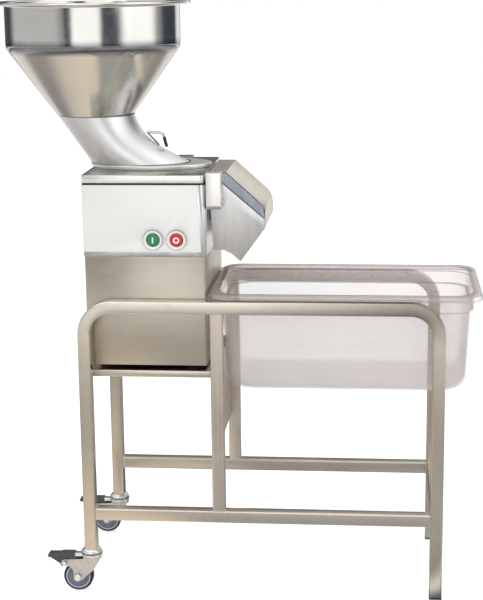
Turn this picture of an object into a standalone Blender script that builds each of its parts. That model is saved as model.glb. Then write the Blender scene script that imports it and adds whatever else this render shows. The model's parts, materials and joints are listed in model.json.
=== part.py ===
"""Vegetable preparation machine with an automatic feed hopper, on a tubular trolley with a clear tray.

Metres, +Z up, +X towards the tray end, -Y towards the operator. The origin is on the floor, under the
centre of the whole machine's bounding box. Heights are above the floor. Lengths along X are mostly
written as a distance from the trolley's left legs and added to LEFT.
"""

import math

import bmesh
import bpy
from mathutils import Matrix, Vector

# --- driving dimensions ---------------------------------------------------------------------------
GAP = 0.0003  # between pieces that touch

TUBE = 0.025  # square tube of the trolley
TUBE_WALL = 0.0015
TUBE_CORNER = 0.003
BEND = 0.0555  # centre-line radius of the upper bends
TROLLEY_LENGTH = 0.716
TROLLEY_WIDTH = 0.350
RAIL_TOP = 0.602
LOWER_RAIL_TOP = 0.177
MIDDLE_POST = 0.261  # left face of the middle posts, from the left legs

TRAY_LENGTH = 0.530
TRAY_WIDTH = 0.325
TRAY_DEPTH = 0.200
TRAY_START = 0.257
TRAY_WALL = 0.003

HOPPER_RADIUS = 0.1945  # outside the rim
HOPPER_CENTRE = 0.0175
HOPPER_TOP = 1.171

BODY_START = 0.014
BODY_LENGTH = 0.2375
BODY_FRONT = -0.144
BODY_BACK = 0.146
BODY_BOTTOM = 0.4675
HOUSING_START = 0.012
HOUSING_LENGTH = 0.2415
HOUSING_BACK = 0.148
HOUSING_BOTTOM = 0.6855
HOUSING_TOP = 0.826
LID_TOP = 0.844

BOWL_CENTRE = 0.1325
BOWL_RADIUS = 0.100
BOWL_FLOOR = 0.745

CASTER_HEIGHT = 0.090
WHEEL_RADIUS = 0.030
WHEEL_TRAIL = 0.028

# --- places worked out from them ------------------------------------------------------------------
TOTAL_LENGTH = HOPPER_RADIUS - HOPPER_CENTRE + TRAY_START + TRAY_LENGTH
LEFT = HOPPER_RADIUS - HOPPER_CENTRE - TOTAL_LENGTH / 2
LEG_Y = TROLLEY_WIDTH / 2 - TUBE / 2
BOWL = Vector((LEFT + BOWL_CENTRE, 0, 0))
HOPPER = Vector((LEFT + HOPPER_CENTRE, 0, 0))
SHELF_TOP = 0.458
FOOT_PLATE = 0.004

# --- colours --------------------------------------------------------------------------------------
STEEL = (0.62, 0.59, 0.54)
BRIGHT_STEEL = (0.74, 0.73, 0.71)
CAST = (0.70, 0.70, 0.68)
PANEL = (0.88, 0.88, 0.85)
DARK = (0.03, 0.03, 0.035)
CLEAR = (0.86, 0.82, 0.82)
WHEEL_BLUE = (0.25, 0.28, 0.38)


def clear_scene():
    for thing in list(bpy.data.objects):
        bpy.data.objects.remove(thing, do_unlink=True)


def material(name, colour, roughness, metallic, alpha=1.0):
    """The named material, made the first time that it is asked for."""
    found = bpy.data.materials.get(name)
    if found:
        return found
    made = bpy.data.materials.new(name)
    made.use_nodes = True
    shader = made.node_tree.nodes["Principled BSDF"]
    shader.inputs["Base Color"].default_value = (*colour, 1.0)
    shader.inputs["Roughness"].default_value = roughness
    shader.inputs["Metallic"].default_value = metallic
    shader.inputs["Alpha"].default_value = alpha
    return made


def steel():
    return material("brushed_steel", STEEL, 0.35, 1.0)


def bright_steel():
    return material("polished_steel", BRIGHT_STEEL, 0.15, 1.0)


def cast_metal():
    return material("cast_alloy", CAST, 0.45, 1.0)


def black_plastic():
    return material("black_plastic", DARK, 0.5, 0.0)


def zinc():
    return material("zinc_plate", (0.72, 0.72, 0.70), 0.3, 1.0)


def finish(name, mesh, look, parent=None, origin=None, smooth=True):
    """Turns a bmesh, built in world places, into an object whose origin is at the given point."""
    mesh.normal_update()
    data = bpy.data.meshes.new(name)
    if origin is not None:
        bmesh.ops.translate(mesh, vec=-Vector(origin), verts=mesh.verts)
    mesh.to_mesh(data)
    mesh.free()
    if smooth:
        data.shade_smooth()
        data.set_sharp_from_angle(angle=math.radians(35))
    data.materials.append(look)
    made = bpy.data.objects.new(name, data)
    bpy.context.scene.collection.objects.link(made)
    if origin is not None:
        made.location = origin
    if parent is not None:
        made.parent = parent
        made.location = Vector(made.location) - parent.matrix_world.translation
    return made


def joint_empty(name, place, parent=None):
    """An empty on a joint's axis, which the pieces that move are parented to."""
    made = bpy.data.objects.new(name, None)
    made.empty_display_size = 0.02
    bpy.context.scene.collection.objects.link(made)
    made.location = Vector(place)
    if parent is not None:
        made.parent = parent
        made.location = Vector(place) - parent.matrix_world.translation
    bpy.context.view_layer.update()
    return made


def box(low, high, mesh=None):
    """A box between two corners."""
    mesh = mesh or bmesh.new()
    made = bmesh.ops.create_cube(mesh, size=1)["verts"]
    low, high = Vector(low), Vector(high)
    bmesh.ops.scale(mesh, vec=high - low, verts=made)
    bmesh.ops.translate(mesh, vec=(low + high) / 2, verts=made)
    return mesh


def bevelled_box(low, high, width, segments=2, upright_only=False):
    """A box with rounded edges, all of them or only the upright ones."""
    mesh = box(low, high)
    edges = list(mesh.edges)
    if upright_only:
        edges = [e for e in edges if abs((e.verts[0].co - e.verts[1].co).z) > 1e-6]
    bmesh.ops.bevel(
        mesh, geom=edges, offset=width, segments=segments, profile=0.5, affect="EDGES", material=-1
    )
    return mesh


AXES = {
    "Z": Matrix.Identity(3),
    "X": Matrix(((0, 0, 1), (0, 1, 0), (-1, 0, 0))),
    "Y": Matrix(((1, 0, 0), (0, 0, 1), (0, -1, 0))),
}


def turned(profile, centre, segments=32, axis="Z", closed=False):
    """A solid turned from (radius, height) points about an axis through the centre.

    The profile of a solid piece starts and ends on the axis. A closed profile stays off it and
    makes a ring or a shell.
    """
    mesh = bmesh.new()
    points = [mesh.verts.new((radius, 0, height)) for radius, height in profile]
    edges = [mesh.edges.new(pair) for pair in zip(points, points[1:])]
    if closed:
        edges.append(mesh.edges.new((points[-1], points[0])))
    bmesh.ops.spin(
        mesh,
        geom=points + edges,
        cent=(0, 0, 0),
        axis=(0, 0, 1),
        angle=2 * math.pi,
        steps=segments,
        use_merge=True,
    )
    bmesh.ops.remove_doubles(mesh, verts=mesh.verts, dist=1e-6)
    bmesh.ops.recalc_face_normals(mesh, faces=mesh.faces)
    bmesh.ops.rotate(mesh, cent=(0, 0, 0), matrix=AXES[axis], verts=mesh.verts)
    bmesh.ops.translate(mesh, vec=Vector(centre), verts=mesh.verts)
    return mesh


def rod(radius, start, end, centre, axis="Z", segments=24):
    """A plain round bar from start to end along an axis through the centre."""
    return turned([(0, start), (radius, start), (radius, end), (0, end)], centre, segments, axis)


def ring(inner, outer, start, end, centre, axis="Z", segments=32):
    """A ring of rectangular section."""
    profile = [(inner, start), (outer, start), (outer, end), (inner, end)]
    return turned(profile, centre, segments, axis, closed=True)


def plate(outline, low_y, high_y):
    """A flat plate with an outline of (x, z) points, between two depths."""
    mesh = bmesh.new()
    face = mesh.faces.new([mesh.verts.new((x, low_y, z)) for x, z in outline])
    grown = bmesh.ops.extrude_face_region(mesh, geom=[face], use_keep_orig=True)["geom"]
    moved = [part for part in grown if isinstance(part, bmesh.types.BMVert)]
    bmesh.ops.translate(mesh, vec=(0, high_y - low_y, 0), verts=moved)
    bmesh.ops.recalc_face_normals(mesh, faces=mesh.faces)
    return mesh


def rounded_rectangle(length, width, corner, steps):
    """Points round a rectangle with round corners, centred on zero."""
    points = []
    for quarter in range(4):
        turn = quarter * math.pi / 2
        along = (length if quarter % 2 == 0 else width) / 2 - corner
        across = (width if quarter % 2 == 0 else length) / 2 - corner
        centre = Matrix.Rotation(turn, 2) @ Vector((along, across))
        for step in range(steps + 1):
            angle = turn + step / steps * math.pi / 2
            points.append(centre + corner * Vector((math.cos(angle), math.sin(angle))))
    return points


def lofted(loops, cap_start=True, cap_end=True, close_ends=False):
    """A skin through rings of points, capped at its ends or closed from the last ring to the first."""
    mesh = bmesh.new()
    rings = [[mesh.verts.new(point) for point in loop] for loop in loops]
    pairs = list(zip(rings, rings[1:]))
    if close_ends:
        pairs.append((rings[-1], rings[0]))
    for one, other in pairs:
        for i, vertex in enumerate(one):
            following = (i + 1) % len(one)
            mesh.faces.new((vertex, one[following], other[following], other[i]))
    if cap_start and not close_ends:
        mesh.faces.new(rings[0])
    if cap_end and not close_ends:
        mesh.faces.new(rings[-1])
    bmesh.ops.recalc_face_normals(mesh, faces=mesh.faces)
    return mesh


def cutter(name, mesh):
    """A hidden tool for a Boolean."""
    made = finish(name, mesh, material("cutter", (1, 0, 0), 0.5, 0.0), smooth=False)
    made.hide_render = True
    made.display_type = "WIRE"
    return made


def boolean(target, tool_name, mesh, operation="DIFFERENCE"):
    """Cuts a shape from an object, or joins it on."""
    tool = cutter(tool_name, mesh)
    if target.parent is not None:
        bpy.context.view_layer.update()
    modifier = target.modifiers.new(tool_name, "BOOLEAN")
    modifier.object = tool
    modifier.operation = operation
    modifier.solver = "EXACT"


# --- trolley --------------------------------------------------------------------------------------
def tube_section(size, corner):
    return [Vector((p.x, p.y)) for p in rounded_rectangle(size, size, corner, 2)]


def tube_through(frames):
    """A hollow square tube through frames of (place, sideways direction, depth direction)."""
    outer = tube_section(TUBE, TUBE_CORNER)
    inner = tube_section(TUBE - 2 * TUBE_WALL, TUBE_CORNER - TUBE_WALL)
    outside = [[c + side * p.x + deep * p.y for p in outer] for c, side, deep in frames]
    inside = [[c + side * p.x + deep * p.y for p in inner] for c, side, deep in frames]
    return lofted(outside + inside[::-1], close_ends=True)


def straight_tube(start, end):
    start, end = Vector(start), Vector(end)
    along = (end - start).normalized()
    deep = Vector((0, 1, 0)) if abs(along.y) < 0.5 else Vector((0, 0, 1))
    side = along.cross(deep)
    return tube_through([(start, side, deep), (end, side, deep)])


def bent_tube(y):
    """Left leg, upper rail and right leg, bent from one length."""
    deep = Vector((0, 1, 0))
    left = LEFT + TUBE / 2
    right = LEFT + TROLLEY_LENGTH - TUBE / 2
    rail = RAIL_TOP - TUBE / 2
    frames = [(Vector((left, y, CASTER_HEIGHT)), Vector((-1, 0, 0)), deep)]
    steps = 8
    for centre_x, first in ((left + BEND, math.pi), (right - BEND, math.pi / 2)):
        for step in range(steps + 1):
            angle = first - step / steps * math.pi / 2
            outward = Vector((math.cos(angle), 0, math.sin(angle)))
            frames.append((Vector((centre_x, y, rail - BEND)) + outward * BEND, outward, deep))
    frames.append((Vector((right, y, FOOT_PLATE + GAP)), Vector((1, 0, 0)), deep))
    return tube_through(frames)


def make_trolley():
    lower = LOWER_RAIL_TOP - TUBE / 2
    upper_underside = RAIL_TOP - TUBE
    post_x = LEFT + MIDDLE_POST + TUBE / 2
    for name, y in (("front", -LEG_Y), ("rear", LEG_Y)):
        finish(f"{name}_bent_tube", bent_tube(y), steel())
        rail = straight_tube(
            (LEFT + TUBE + GAP, y, lower), (LEFT + TROLLEY_LENGTH - TUBE - GAP, y, lower)
        )
        finish(f"{name}_lower_rail", rail, steel())
        post = straight_tube(
            (post_x, y, LOWER_RAIL_TOP + GAP), (post_x, y, upper_underside - GAP)
        )
        finish(f"{name}_middle_post", post, steel())
        foot = bevelled_box(
            (LEFT + TROLLEY_LENGTH - TUBE, y - TUBE / 2, 0),
            (LEFT + TROLLEY_LENGTH, y + TUBE / 2, FOOT_PLATE),
            0.001,
        )
        made = finish(f"{name}_right_foot", foot, black_plastic())
        inside = TUBE / 2 - TUBE_WALL - 2 * GAP
        middle = LEFT + TROLLEY_LENGTH - TUBE / 2
        plug = box(
            (middle - inside, y - inside, FOOT_PLATE / 2), (middle + inside, y + inside, 0.018)
        )
        boolean(made, f"{name}_foot_plug", plug, "UNION")

    inner = LEG_Y - TUBE / 2 - GAP
    cross_x = LEFT + TROLLEY_LENGTH - TUBE / 2
    finish(
        "right_cross_tube",
        straight_tube((cross_x, -inner, lower), (cross_x, inner, lower)),
        steel(),
    )
    panel_x = LEFT + MIDDLE_POST + 0.002
    finish(
        "middle_stiffener_panel",
        box((panel_x, -inner, 0.279), (panel_x + 0.003, inner, SHELF_TOP)),
        steel(),
        smooth=False,
    )


def make_shelf():
    """A shallow tray, turned down all round, that carries the machine between the tubes."""
    inner = LEG_Y - TUBE / 2 - GAP
    low = Vector((LEFT + 0.002, -inner, SHELF_TOP - 0.014))
    high = Vector((LEFT + MIDDLE_POST + 0.001, inner, SHELF_TOP))
    made = finish("support_shelf", bevelled_box(low, high, 0.002), steel())
    sheet = Vector((0.002, 0.002, 0.002))
    hollow = box((low + sheet) - Vector((0, 0, 0.01)), high - sheet)
    boolean(made, "shelf_hollow", hollow)


# --- casters --------------------------------------------------------------------------------------
def make_caster(name, y):
    """A braked swivel caster under a left leg, trailing towards -X."""
    x = LEFT + TUBE / 2
    centre = Vector((x, y, 0))
    wheel = Vector((x - WHEEL_TRAIL, y, WHEEL_RADIUS))
    half_width = 0.010
    fork_inside = 0.0130
    fork_outside = 0.0155

    # The stem goes up into the leg. Its collar covers the bearing, and its pin holds the fork.
    inside = TUBE / 2 - TUBE_WALL - 2 * GAP
    collar = [(0, 0.0645), (0.0085, 0.0645), (0.0085, 0.0675), (0.005, 0.0675), (0.005, 0.0855)]
    collar += [(0.0195, 0.0855), (0.0195, 0.0865), (0.0155, CASTER_HEIGHT - GAP)]
    collar += [(0, CASTER_HEIGHT - GAP)]
    stem = finish(f"{name}_caster_stem", turned(collar, centre, 28), zinc())
    plug = box(
        (x - inside, y - inside, CASTER_HEIGHT - 0.001), (x + inside, y + inside, 0.120)
    )
    boolean(stem, f"{name}_stem_plug", plug, "UNION")

    swivel = joint_empty(f"{name}_swivel_axis", centre)
    fork_cup = ring(0.0053, 0.020, 0.0685, 0.085, centre, segments=28)
    fork = finish(f"{name}_caster_fork", fork_cup, zinc(), swivel, centre)
    outline = [
        (0.0165, 0.0795),
        (0.0195, 0.0755),
        (0.0185, 0.0690),
        (0.0125, 0.0590),
        (0.0050, 0.0470),
        (-0.0195, 0.0245),
        (-0.0265, 0.0212),
        (-0.0335, 0.0228),
        (-0.0360, 0.0280),
        (-0.0362, 0.0400),
        (-0.0380, 0.0475),
        (-0.0440, 0.0530),
        (-0.0560, 0.0545),
        (-0.0605, 0.0585),
        (-0.0600, 0.0645),
        (-0.0550, 0.0680),
        (-0.0165, 0.0695),
        (-0.0140, 0.0795),
    ]
    outline = [(x + u, z) for u, z in outline]
    sides = plate(outline, y - fork_outside, y - fork_inside)
    boolean(fork, f"{name}_fork_side_a", sides, "UNION")
    sides = plate(outline, y + fork_inside, y + fork_outside)
    boolean(fork, f"{name}_fork_side_b", sides, "UNION")
    hole = rod(0.0043, -0.03, 0.03, wheel, "Y", 20)
    boolean(fork, f"{name}_fork_axle_hole", hole)
    pin_place = Vector((x - 0.054, y, 0.061))
    hole = rod(0.0028, -0.03, 0.03, pin_place, "Y", 16)
    boolean(fork, f"{name}_fork_pin_hole", hole)

    # Axle bolt with a head at each side.
    bolt = [(0, -0.0185), (0.0055, -0.0185), (0.0065, -0.0172), (0.0065, -0.0158), (0.004, -0.0158)]
    bolt += [(radius, -along) for radius, along in bolt[::-1]]
    finish(f"{name}_caster_axle", turned(bolt, wheel, 24, "Y"), zinc(), swivel, wheel)

    spin = joint_empty(f"{name}_wheel_axis", wheel, swivel)
    hub = [(0.0045, -0.0105), (0.009, -0.0115), (0.010, -0.008), (0.020, -0.007), (0.0215, -0.0095)]
    hub += [(0.0247, -0.0095)]
    hub += [(radius, -along) for radius, along in hub[::-1]]
    wheel_blue = material("wheel_plastic", WHEEL_BLUE, 0.5, 0.0)
    finish(f"{name}_wheel_hub", turned(hub, wheel, 32, "Y", True), wheel_blue, spin, wheel)
    tyre = [(0.025, -half_width)]
    for step in range(5):
        angle = math.radians(-90 + step * 45)
        tyre.append((0.0275 + 0.0025 * math.cos(angle), 0.0075 * math.sin(angle)))
    tyre.append((0.025, half_width))
    rubber = material("tyre_rubber", DARK, 0.8, 0.0)
    finish(f"{name}_tyre", turned(tyre, wheel, 32, "Y", True), rubber, spin, wheel)

    press = joint_empty(f"{name}_brake_axis", pin_place, swivel)
    outline = [
        (-0.0890, 0.0715),
        (-0.0893, 0.0745),
        (-0.0865, 0.0765),
        (-0.0640, 0.0770),
        (-0.0605, 0.0788),
        (-0.0355, 0.0790),
        (-0.0335, 0.0775),
        (-0.0350, 0.0700),
        (-0.0470, 0.0685),
        (-0.0495, 0.0572),
        (-0.0560, 0.0555),
        (-0.0585, 0.0510),
        (-0.0605, 0.0515),
        (-0.0645, 0.0580),
        (-0.0830, 0.0700),
    ]
    lever = plate([(x + u, z) for u, z in outline], y - 0.0118, y + 0.0118)
    pedal = finish(f"{name}_brake_pedal", lever, black_plastic(), press, pin_place)
    trunnion = rod(0.0025, -0.0170, 0.0170, pin_place, "Y", 16)
    boolean(pedal, f"{name}_pedal_trunnion", trunnion, "UNION")


# --- motor base -----------------------------------------------------------------------------------
def make_motor_base():
    low = Vector((LEFT + BODY_START, BODY_FRONT, BODY_BOTTOM))
    high = Vector((low.x + BODY_LENGTH, BODY_BACK, HOUSING_BOTTOM - GAP))
    sheet = 0.002
    shell = finish("motor_base_shell", bevelled_box(low, high, 0.004, upright_only=True), steel())
    wall = Vector((sheet, sheet, 0))
    hollow = box(low + wall - Vector((0, 0, 0.01)), high - wall - Vector((0, 0, sheet)))
    boolean(shell, "shell_hollow", hollow)
    shaft_way = rod(0.032, high.z - 0.02, high.z + 0.02, BOWL, segments=28)
    boolean(shell, "shell_shaft_way", shaft_way)
    for row in range(6):
        height = BODY_BOTTOM + 0.045 + row * 0.014
        slot = box(
            (low.x + 0.055, BODY_BACK - 0.01, height), (high.x - 0.055, BODY_BACK + 0.01, height + 0.005)
        )
        boolean(shell, f"vent_slot_{row}", slot)

    clear = Vector((sheet + GAP, sheet + GAP, 0))
    base_low = low + clear
    base_high = Vector((high.x, high.y, BODY_BOTTOM + 0.004)) - clear
    finish("base_plate", box(base_low, base_high), steel(), smooth=False)

    foot = [(0, SHELF_TOP + GAP), (0.010, SHELF_TOP + GAP), (0.012, BODY_BOTTOM - GAP)]
    foot += [(0, BODY_BOTTOM - GAP)]
    corners = [(0.03, -0.11), (0.2075, -0.11), (0.03, 0.11), (0.2075, 0.11)]
    for number, (along, deep) in enumerate(corners, 1):
        place = Vector((low.x + along, deep, 0))
        finish(f"rubber_foot_{number}", turned(foot, place, 16), black_plastic())

    gland_place = Vector((low.x + 0.03, BODY_BACK + GAP, 0.50))
    gland = [(0.0035, 0), (0.010, 0), (0.010, 0.006), (0.0075, 0.007), (0.0065, 0.018), (0.0035, 0.018)]
    finish("power_inlet_gland", turned(gland, gland_place, 20, "Y", True), black_plastic())


def make_drive():
    """Motor, belt and shaft inside the base, and the cutting tools on top of the shaft."""
    motor = Vector((LEFT + 0.075, 0.075, 0))
    stator = [(0.030, 0.540), (0.052, 0.540), (0.052, 0.655), (0.030, 0.655)]
    finish("motor_stator", turned(stator, motor, 28, closed=True), cast_metal())
    motor_axis = joint_empty("motor_axis", motor)
    rotor = [(0, 0.500), (0.007, 0.500), (0.007, 0.545), (0.029, 0.545), (0.029, 0.650)]
    rotor += [(0.007, 0.650), (0.007, 0.668), (0, 0.668)]
    finish("motor_rotor", turned(rotor, motor, 24), zinc(), motor_axis, motor)
    small = pulley(0.0073, 0.0219, 0.505)
    finish("motor_pulley", turned(small, motor, 28, closed=True), cast_metal(), motor_axis, motor)

    carrier = [(0.0185, 0.575), (0.030, 0.575), (0.030, 0.7255), (0.0185, 0.7255)]
    finish("bearing_carrier", turned(carrier, BOWL, 28, closed=True), cast_metal())
    finish("shaft_bearing", ring(0.0103, 0.0182, 0.700, 0.720, BOWL, segments=24), zinc())

    drive_axis = joint_empty("drive_axis", BOWL)
    shaft = [(0, 0.495), (0.010, 0.495), (0.010, 0.8195), (0.007, 0.8225), (0, 0.8225)]
    finish("drive_shaft", turned(shaft, BOWL, 24), zinc(), drive_axis, BOWL)
    large = pulley(0.0103, 0.060, 0.505)
    finish("driven_pulley", turned(large, BOWL, 36, closed=True), cast_metal(), drive_axis, BOWL)
    finish("drive_belt", belt(motor, 0.01827, BOWL, 0.0568), material("belt", DARK, 0.7, 0.0))

    sling = [(0.0103, 0.748), (0.094, 0.748), (0.094, 0.751), (0.020, 0.752), (0.018, 0.775)]
    sling += [(0.0103, 0.775)]
    plate_look = material("white_plastic", (0.85, 0.85, 0.83), 0.4, 0.0)
    made = finish("ejector_plate", turned(sling, BOWL, 36, closed=True), plate_look, drive_axis, BOWL)
    for turn in range(3):
        paddle = box((0.015, -0.002, 0.750), (0.088, 0.002, 0.764))
        around = Matrix.Rotation(turn * 2 * math.pi / 3, 3, "Z")
        bmesh.ops.rotate(paddle, cent=(0, 0, 0), matrix=around, verts=paddle.verts)
        bmesh.ops.translate(paddle, vec=BOWL, verts=paddle.verts)
        boolean(made, f"paddle_{turn}", paddle, "UNION")

    disc = [(0.0103, 0.790), (0.018, 0.790), (0.018, 0.811), (0.096, 0.811), (0.096, 0.815)]
    disc += [(0.0103, 0.815)]
    made = finish(
        "slicing_disc", turned(disc, BOWL, 40, closed=True), bright_steel(), drive_axis, BOWL
    )
    slit = box(BOWL + Vector((0.024, 0.004, 0.80)), BOWL + Vector((0.090, 0.014, 0.83)))
    boolean(made, "slicing_slit", slit)


def pulley(bore, outer, bottom):
    """The half section of a pulley with one flat belt groove."""
    groove = outer - 0.004
    return [
        (bore, bottom),
        (outer, bottom),
        (outer, bottom + 0.003),
        (groove, bottom + 0.004),
        (groove, bottom + 0.020),
        (outer, bottom + 0.021),
        (outer, bottom + 0.024),
        (bore, bottom + 0.024),
    ]


def belt(first, first_radius, second, second_radius):
    """A flat belt in one closed loop round two pulleys of different size."""
    across = second - first
    distance = across.length
    heading = math.atan2(across.y, across.x)
    spread = math.acos((first_radius - second_radius) / distance)
    thickness = 0.002
    loops = []
    for extra, height in (
        (0, 0.5105),
        (thickness, 0.5105),
        (thickness, 0.5235),
        (0, 0.5235),
    ):
        points = []
        for centre, radius, start, end in (
            (first, first_radius, heading + spread, heading - spread + 2 * math.pi),
            (second, second_radius, heading - spread, heading + spread),
        ):
            for step in range(25):
                angle = start + (end - start) * step / 24
                out = radius + extra
                x = centre.x + out * math.cos(angle)
                y = centre.y + out * math.sin(angle)
                points.append(Vector((x, y, height)))
        loops.append(points)
    return lofted(loops, close_ends=True)


# --- upper housing --------------------------------------------------------------------------------
def housing_outline(start, length, front, back, front_right, other):
    """Points round the housing as seen from above: a large corner at the front right."""
    right = start + length
    corners = [
        (right, back, 0, other),
        (start, back, 90, other),
        (start, front, 180, other),
        (right, front, 270, front_right),
    ]
    points = []
    for x, y, first, radius in corners:
        centre_x = x - radius if x == right else x + radius
        centre_y = y - radius if y == back else y + radius
        for step in range(6):
            angle = math.radians(first + step * 18)
            points.append((centre_x + radius * math.cos(angle), centre_y + radius * math.sin(angle)))
    return points


def upright_block(outline, low, high):
    return lofted([[Vector((x, y, z)) for x, y in outline] for z in (low, high)])


def make_housing():
    start = LEFT + HOUSING_START
    loops = []
    for height, front_right in ((HOUSING_BOTTOM, 0.008), (HOUSING_TOP, 0.017)):
        outline = housing_outline(
            start, HOUSING_LENGTH, BODY_FRONT, HOUSING_BACK, front_right, 0.005
        )
        loops.append([Vector((x, y, height)) for x, y in outline])
    block = lofted(loops)
    housing = finish("bowl_housing", block, cast_metal())
    wall = 0.005
    pocket = box(
        (start + wall, BODY_FRONT + wall, HOUSING_BOTTOM - 0.01),
        (start + HOUSING_LENGTH - wall, HOUSING_BACK - wall, HOUSING_TOP - wall),
    )
    boolean(housing, "housing_pocket", pocket)
    bowl = rod(BOWL_RADIUS + wall, BOWL_FLOOR - 0.012, HOUSING_TOP - 0.002, BOWL, segments=48)
    boolean(housing, "bowl_outside", bowl, "UNION")
    chute_x = BOWL.x + 0.045
    outer_x = start + HOUSING_LENGTH
    chute = box(
        (chute_x, -0.086, BOWL_FLOOR - 0.012), (outer_x - 0.001, 0.086, 0.8165)
    )
    boolean(housing, "chute_outside", chute, "UNION")
    boolean(housing, "bowl_inside", rod(BOWL_RADIUS, BOWL_FLOOR, 0.85, BOWL, segments=48))
    opening = box((chute_x, -0.081, BOWL_FLOOR), (outer_x + 0.01, 0.081, 0.8115))
    boolean(housing, "chute_inside", opening)
    boolean(housing, "shaft_hole", rod(0.0106, 0.72, 0.76, BOWL, segments=24))


def make_panel():
    """Control panel with its two push buttons and the switch block behind them."""
    front = BODY_FRONT - GAP
    sheet = 0.0015
    left = LEFT + HOUSING_START + 0.002
    foot, top = 0.6945, 0.8245
    outline = [(left, foot), (LEFT + 0.2440, foot), (LEFT + 0.2362, top), (left, top)]
    face = plate(outline, front - sheet, front)
    panel = finish("control_panel", face, material("panel", PANEL, 0.3, 0.3))
    outside = front - sheet - GAP
    height = 0.7187
    zinc_ring = material("button_ring", BRIGHT_STEEL, 0.2, 1.0)
    looks = {
        "start": material("green_button", (0.02, 0.35, 0.15), 0.35, 0.0),
        "stop": material("red_button", (0.6, 0.02, 0.03), 0.35, 0.0),
    }
    for name, along in (("start", 0.1502), ("stop", 0.1961)):
        place = Vector((LEFT + along, outside, height))
        boolean(panel, f"{name}_panel_hole", rod(0.0140, -0.02, 0.02, place, "Y", 24))
        housing_hole = rod(0.0140, -0.02, 0.02, place, "Y", 24)
        boolean(bpy.data.objects["bowl_housing"], f"{name}_housing_hole", housing_hole)
        section = [(0.0131, 0), (0.0131, -0.002), (0.0170, -0.002), (0.0176, -0.004)]
        section += [(0.0190, -0.004), (0.0193, 0)]
        bezel = turned(section, place, 36, "Y", True)
        finish(f"{name}_bezel", bezel, zinc_ring)
        cap = [(0, -0.0062), (0.0105, -0.0062), (0.0122, -0.0048), (0.0122, 0.002)]
        cap += [(0.005, 0.002), (0.005, 0.0095), (0, 0.0095)]
        axis = joint_empty(f"{name}_button_axis", place)
        finish(f"{name}_button", turned(cap, place, 28, "Y"), looks[name], axis, place)
    block_x = LEFT + 0.173
    block = bevelled_box(
        (block_x - 0.035, outside + 0.014, height - 0.014),
        (block_x + 0.035, outside + 0.044, height + 0.010),
        0.001,
        1,
    )
    finish("switch_block", block, black_plastic())


def make_hood():
    """Sheet-metal discharge hood, open at the bottom and towards the housing."""
    edge = 0.097  # half width of the skin
    side = 0.110  # half width at the side plates
    skin = [(0.2545, 0.8445), (0.289, 0.8445), (0.3525, 0.787), (0.3605, 0.778), (0.3645, 0.768)]
    crease = [(0.2560, 0.8230), (0.282, 0.8230), (0.348, 0.7665), (0.3575, 0.7585), (0.3645, 0.7530)]
    rim = [(0.3645, 0.735), (0.3165, 0.670), (0.300, 0.685), (0.284, 0.693), (0.264, 0.693)]
    mesh = bmesh.new()
    rows = {}
    for sign in (-1, 1):
        rows[sign, "skin"] = [mesh.verts.new((LEFT + x, sign * edge, z)) for x, z in skin]
        rows[sign, "crease"] = [mesh.verts.new((LEFT + x, sign * side, z)) for x, z in crease]
        rows[sign, "rim"] = [mesh.verts.new((LEFT + x, sign * side, z)) for x, z in rim]
    for i in range(len(skin) - 1):
        near, far = rows[-1, "skin"], rows[1, "skin"]
        mesh.faces.new((near[i], near[i + 1], far[i + 1], far[i]))
        for sign in (-1, 1):
            top, low = rows[sign, "skin"], rows[sign, "crease"]
            mesh.faces.new((top[i], top[i + 1], low[i + 1]))
            mesh.faces.new((top[i], low[i + 1], low[i]))
    for sign in (-1, 1):
        mesh.faces.new(rows[sign, "crease"] + rows[sign, "rim"])
    front = [rows[-1, "skin"][-1], rows[-1, "crease"][-1], rows[-1, "rim"][0]]
    front += [rows[1, "rim"][0], rows[1, "crease"][-1], rows[1, "skin"][-1]]
    mesh.faces.new(front)
    bmesh.ops.recalc_face_normals(mesh, faces=mesh.faces)
    hood = finish("discharge_hood", mesh, steel())
    sheet = hood.modifiers.new("sheet", "SOLIDIFY")
    sheet.thickness = 0.002
    sheet.offset = -1
    sheet.use_even_offset = True


def make_latch():
    """Catch at the front right corner, which swings out and down about a pin."""
    pivot = Vector((LEFT + 0.270, -0.130, 0.790))
    low, high = LEFT + 0.2542, LEFT + 0.2832
    section = [(-0.137, 0.777), (-0.144, 0.784), (-0.144, 0.848), (-0.114, 0.848), (-0.114, 0.784)]
    section += [(-0.121, 0.777)]
    mesh = lofted([[Vector((x, y, z)) for y, z in section] for x in (low, high)])
    axis = joint_empty("latch_axis", pivot)
    latch = finish("latch_lever", mesh, cast_metal(), axis, pivot)
    boolean(latch, "latch_hole", rod(0.0033, -0.03, 0.03, pivot, "X", 16))
    housing_face = LEFT + HOUSING_START + HOUSING_LENGTH + GAP - pivot.x
    end = high - pivot.x
    pin = [(0, housing_face), (0.003, housing_face), (0.003, end + GAP), (0.005, end + GAP)]
    pin += [(0.005, end + 0.002), (0, end + 0.002)]
    finish("latch_pin", turned(pin, pivot, 16, "X"), zinc())


# --- feed head ------------------------------------------------------------------------------------
NECK_TOP = 0.948
NECK_BOTTOM = 0.8525
NECK_WALL = 0.002


def neck_section(drop, inset):
    """Centre, half length and half width of the neck, from 0 at its top to 1 at its foot."""
    left = -0.0570 + 0.065 * drop
    right = 0.095 + 0.030 * drop + 0.081 * drop**2.5
    width = 0.076 - 0.008 * drop
    return (left + right) / 2, (right - left) / 2 - inset, width - inset


def ellipse(centre_x, half_length, half_width, z, segments=40):
    points = []
    for step in range(segments):
        angle = 2 * math.pi * step / segments
        x = LEFT + centre_x + half_length * math.cos(angle)
        points.append(Vector((x, half_width * math.sin(angle), z)))
    return points


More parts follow.
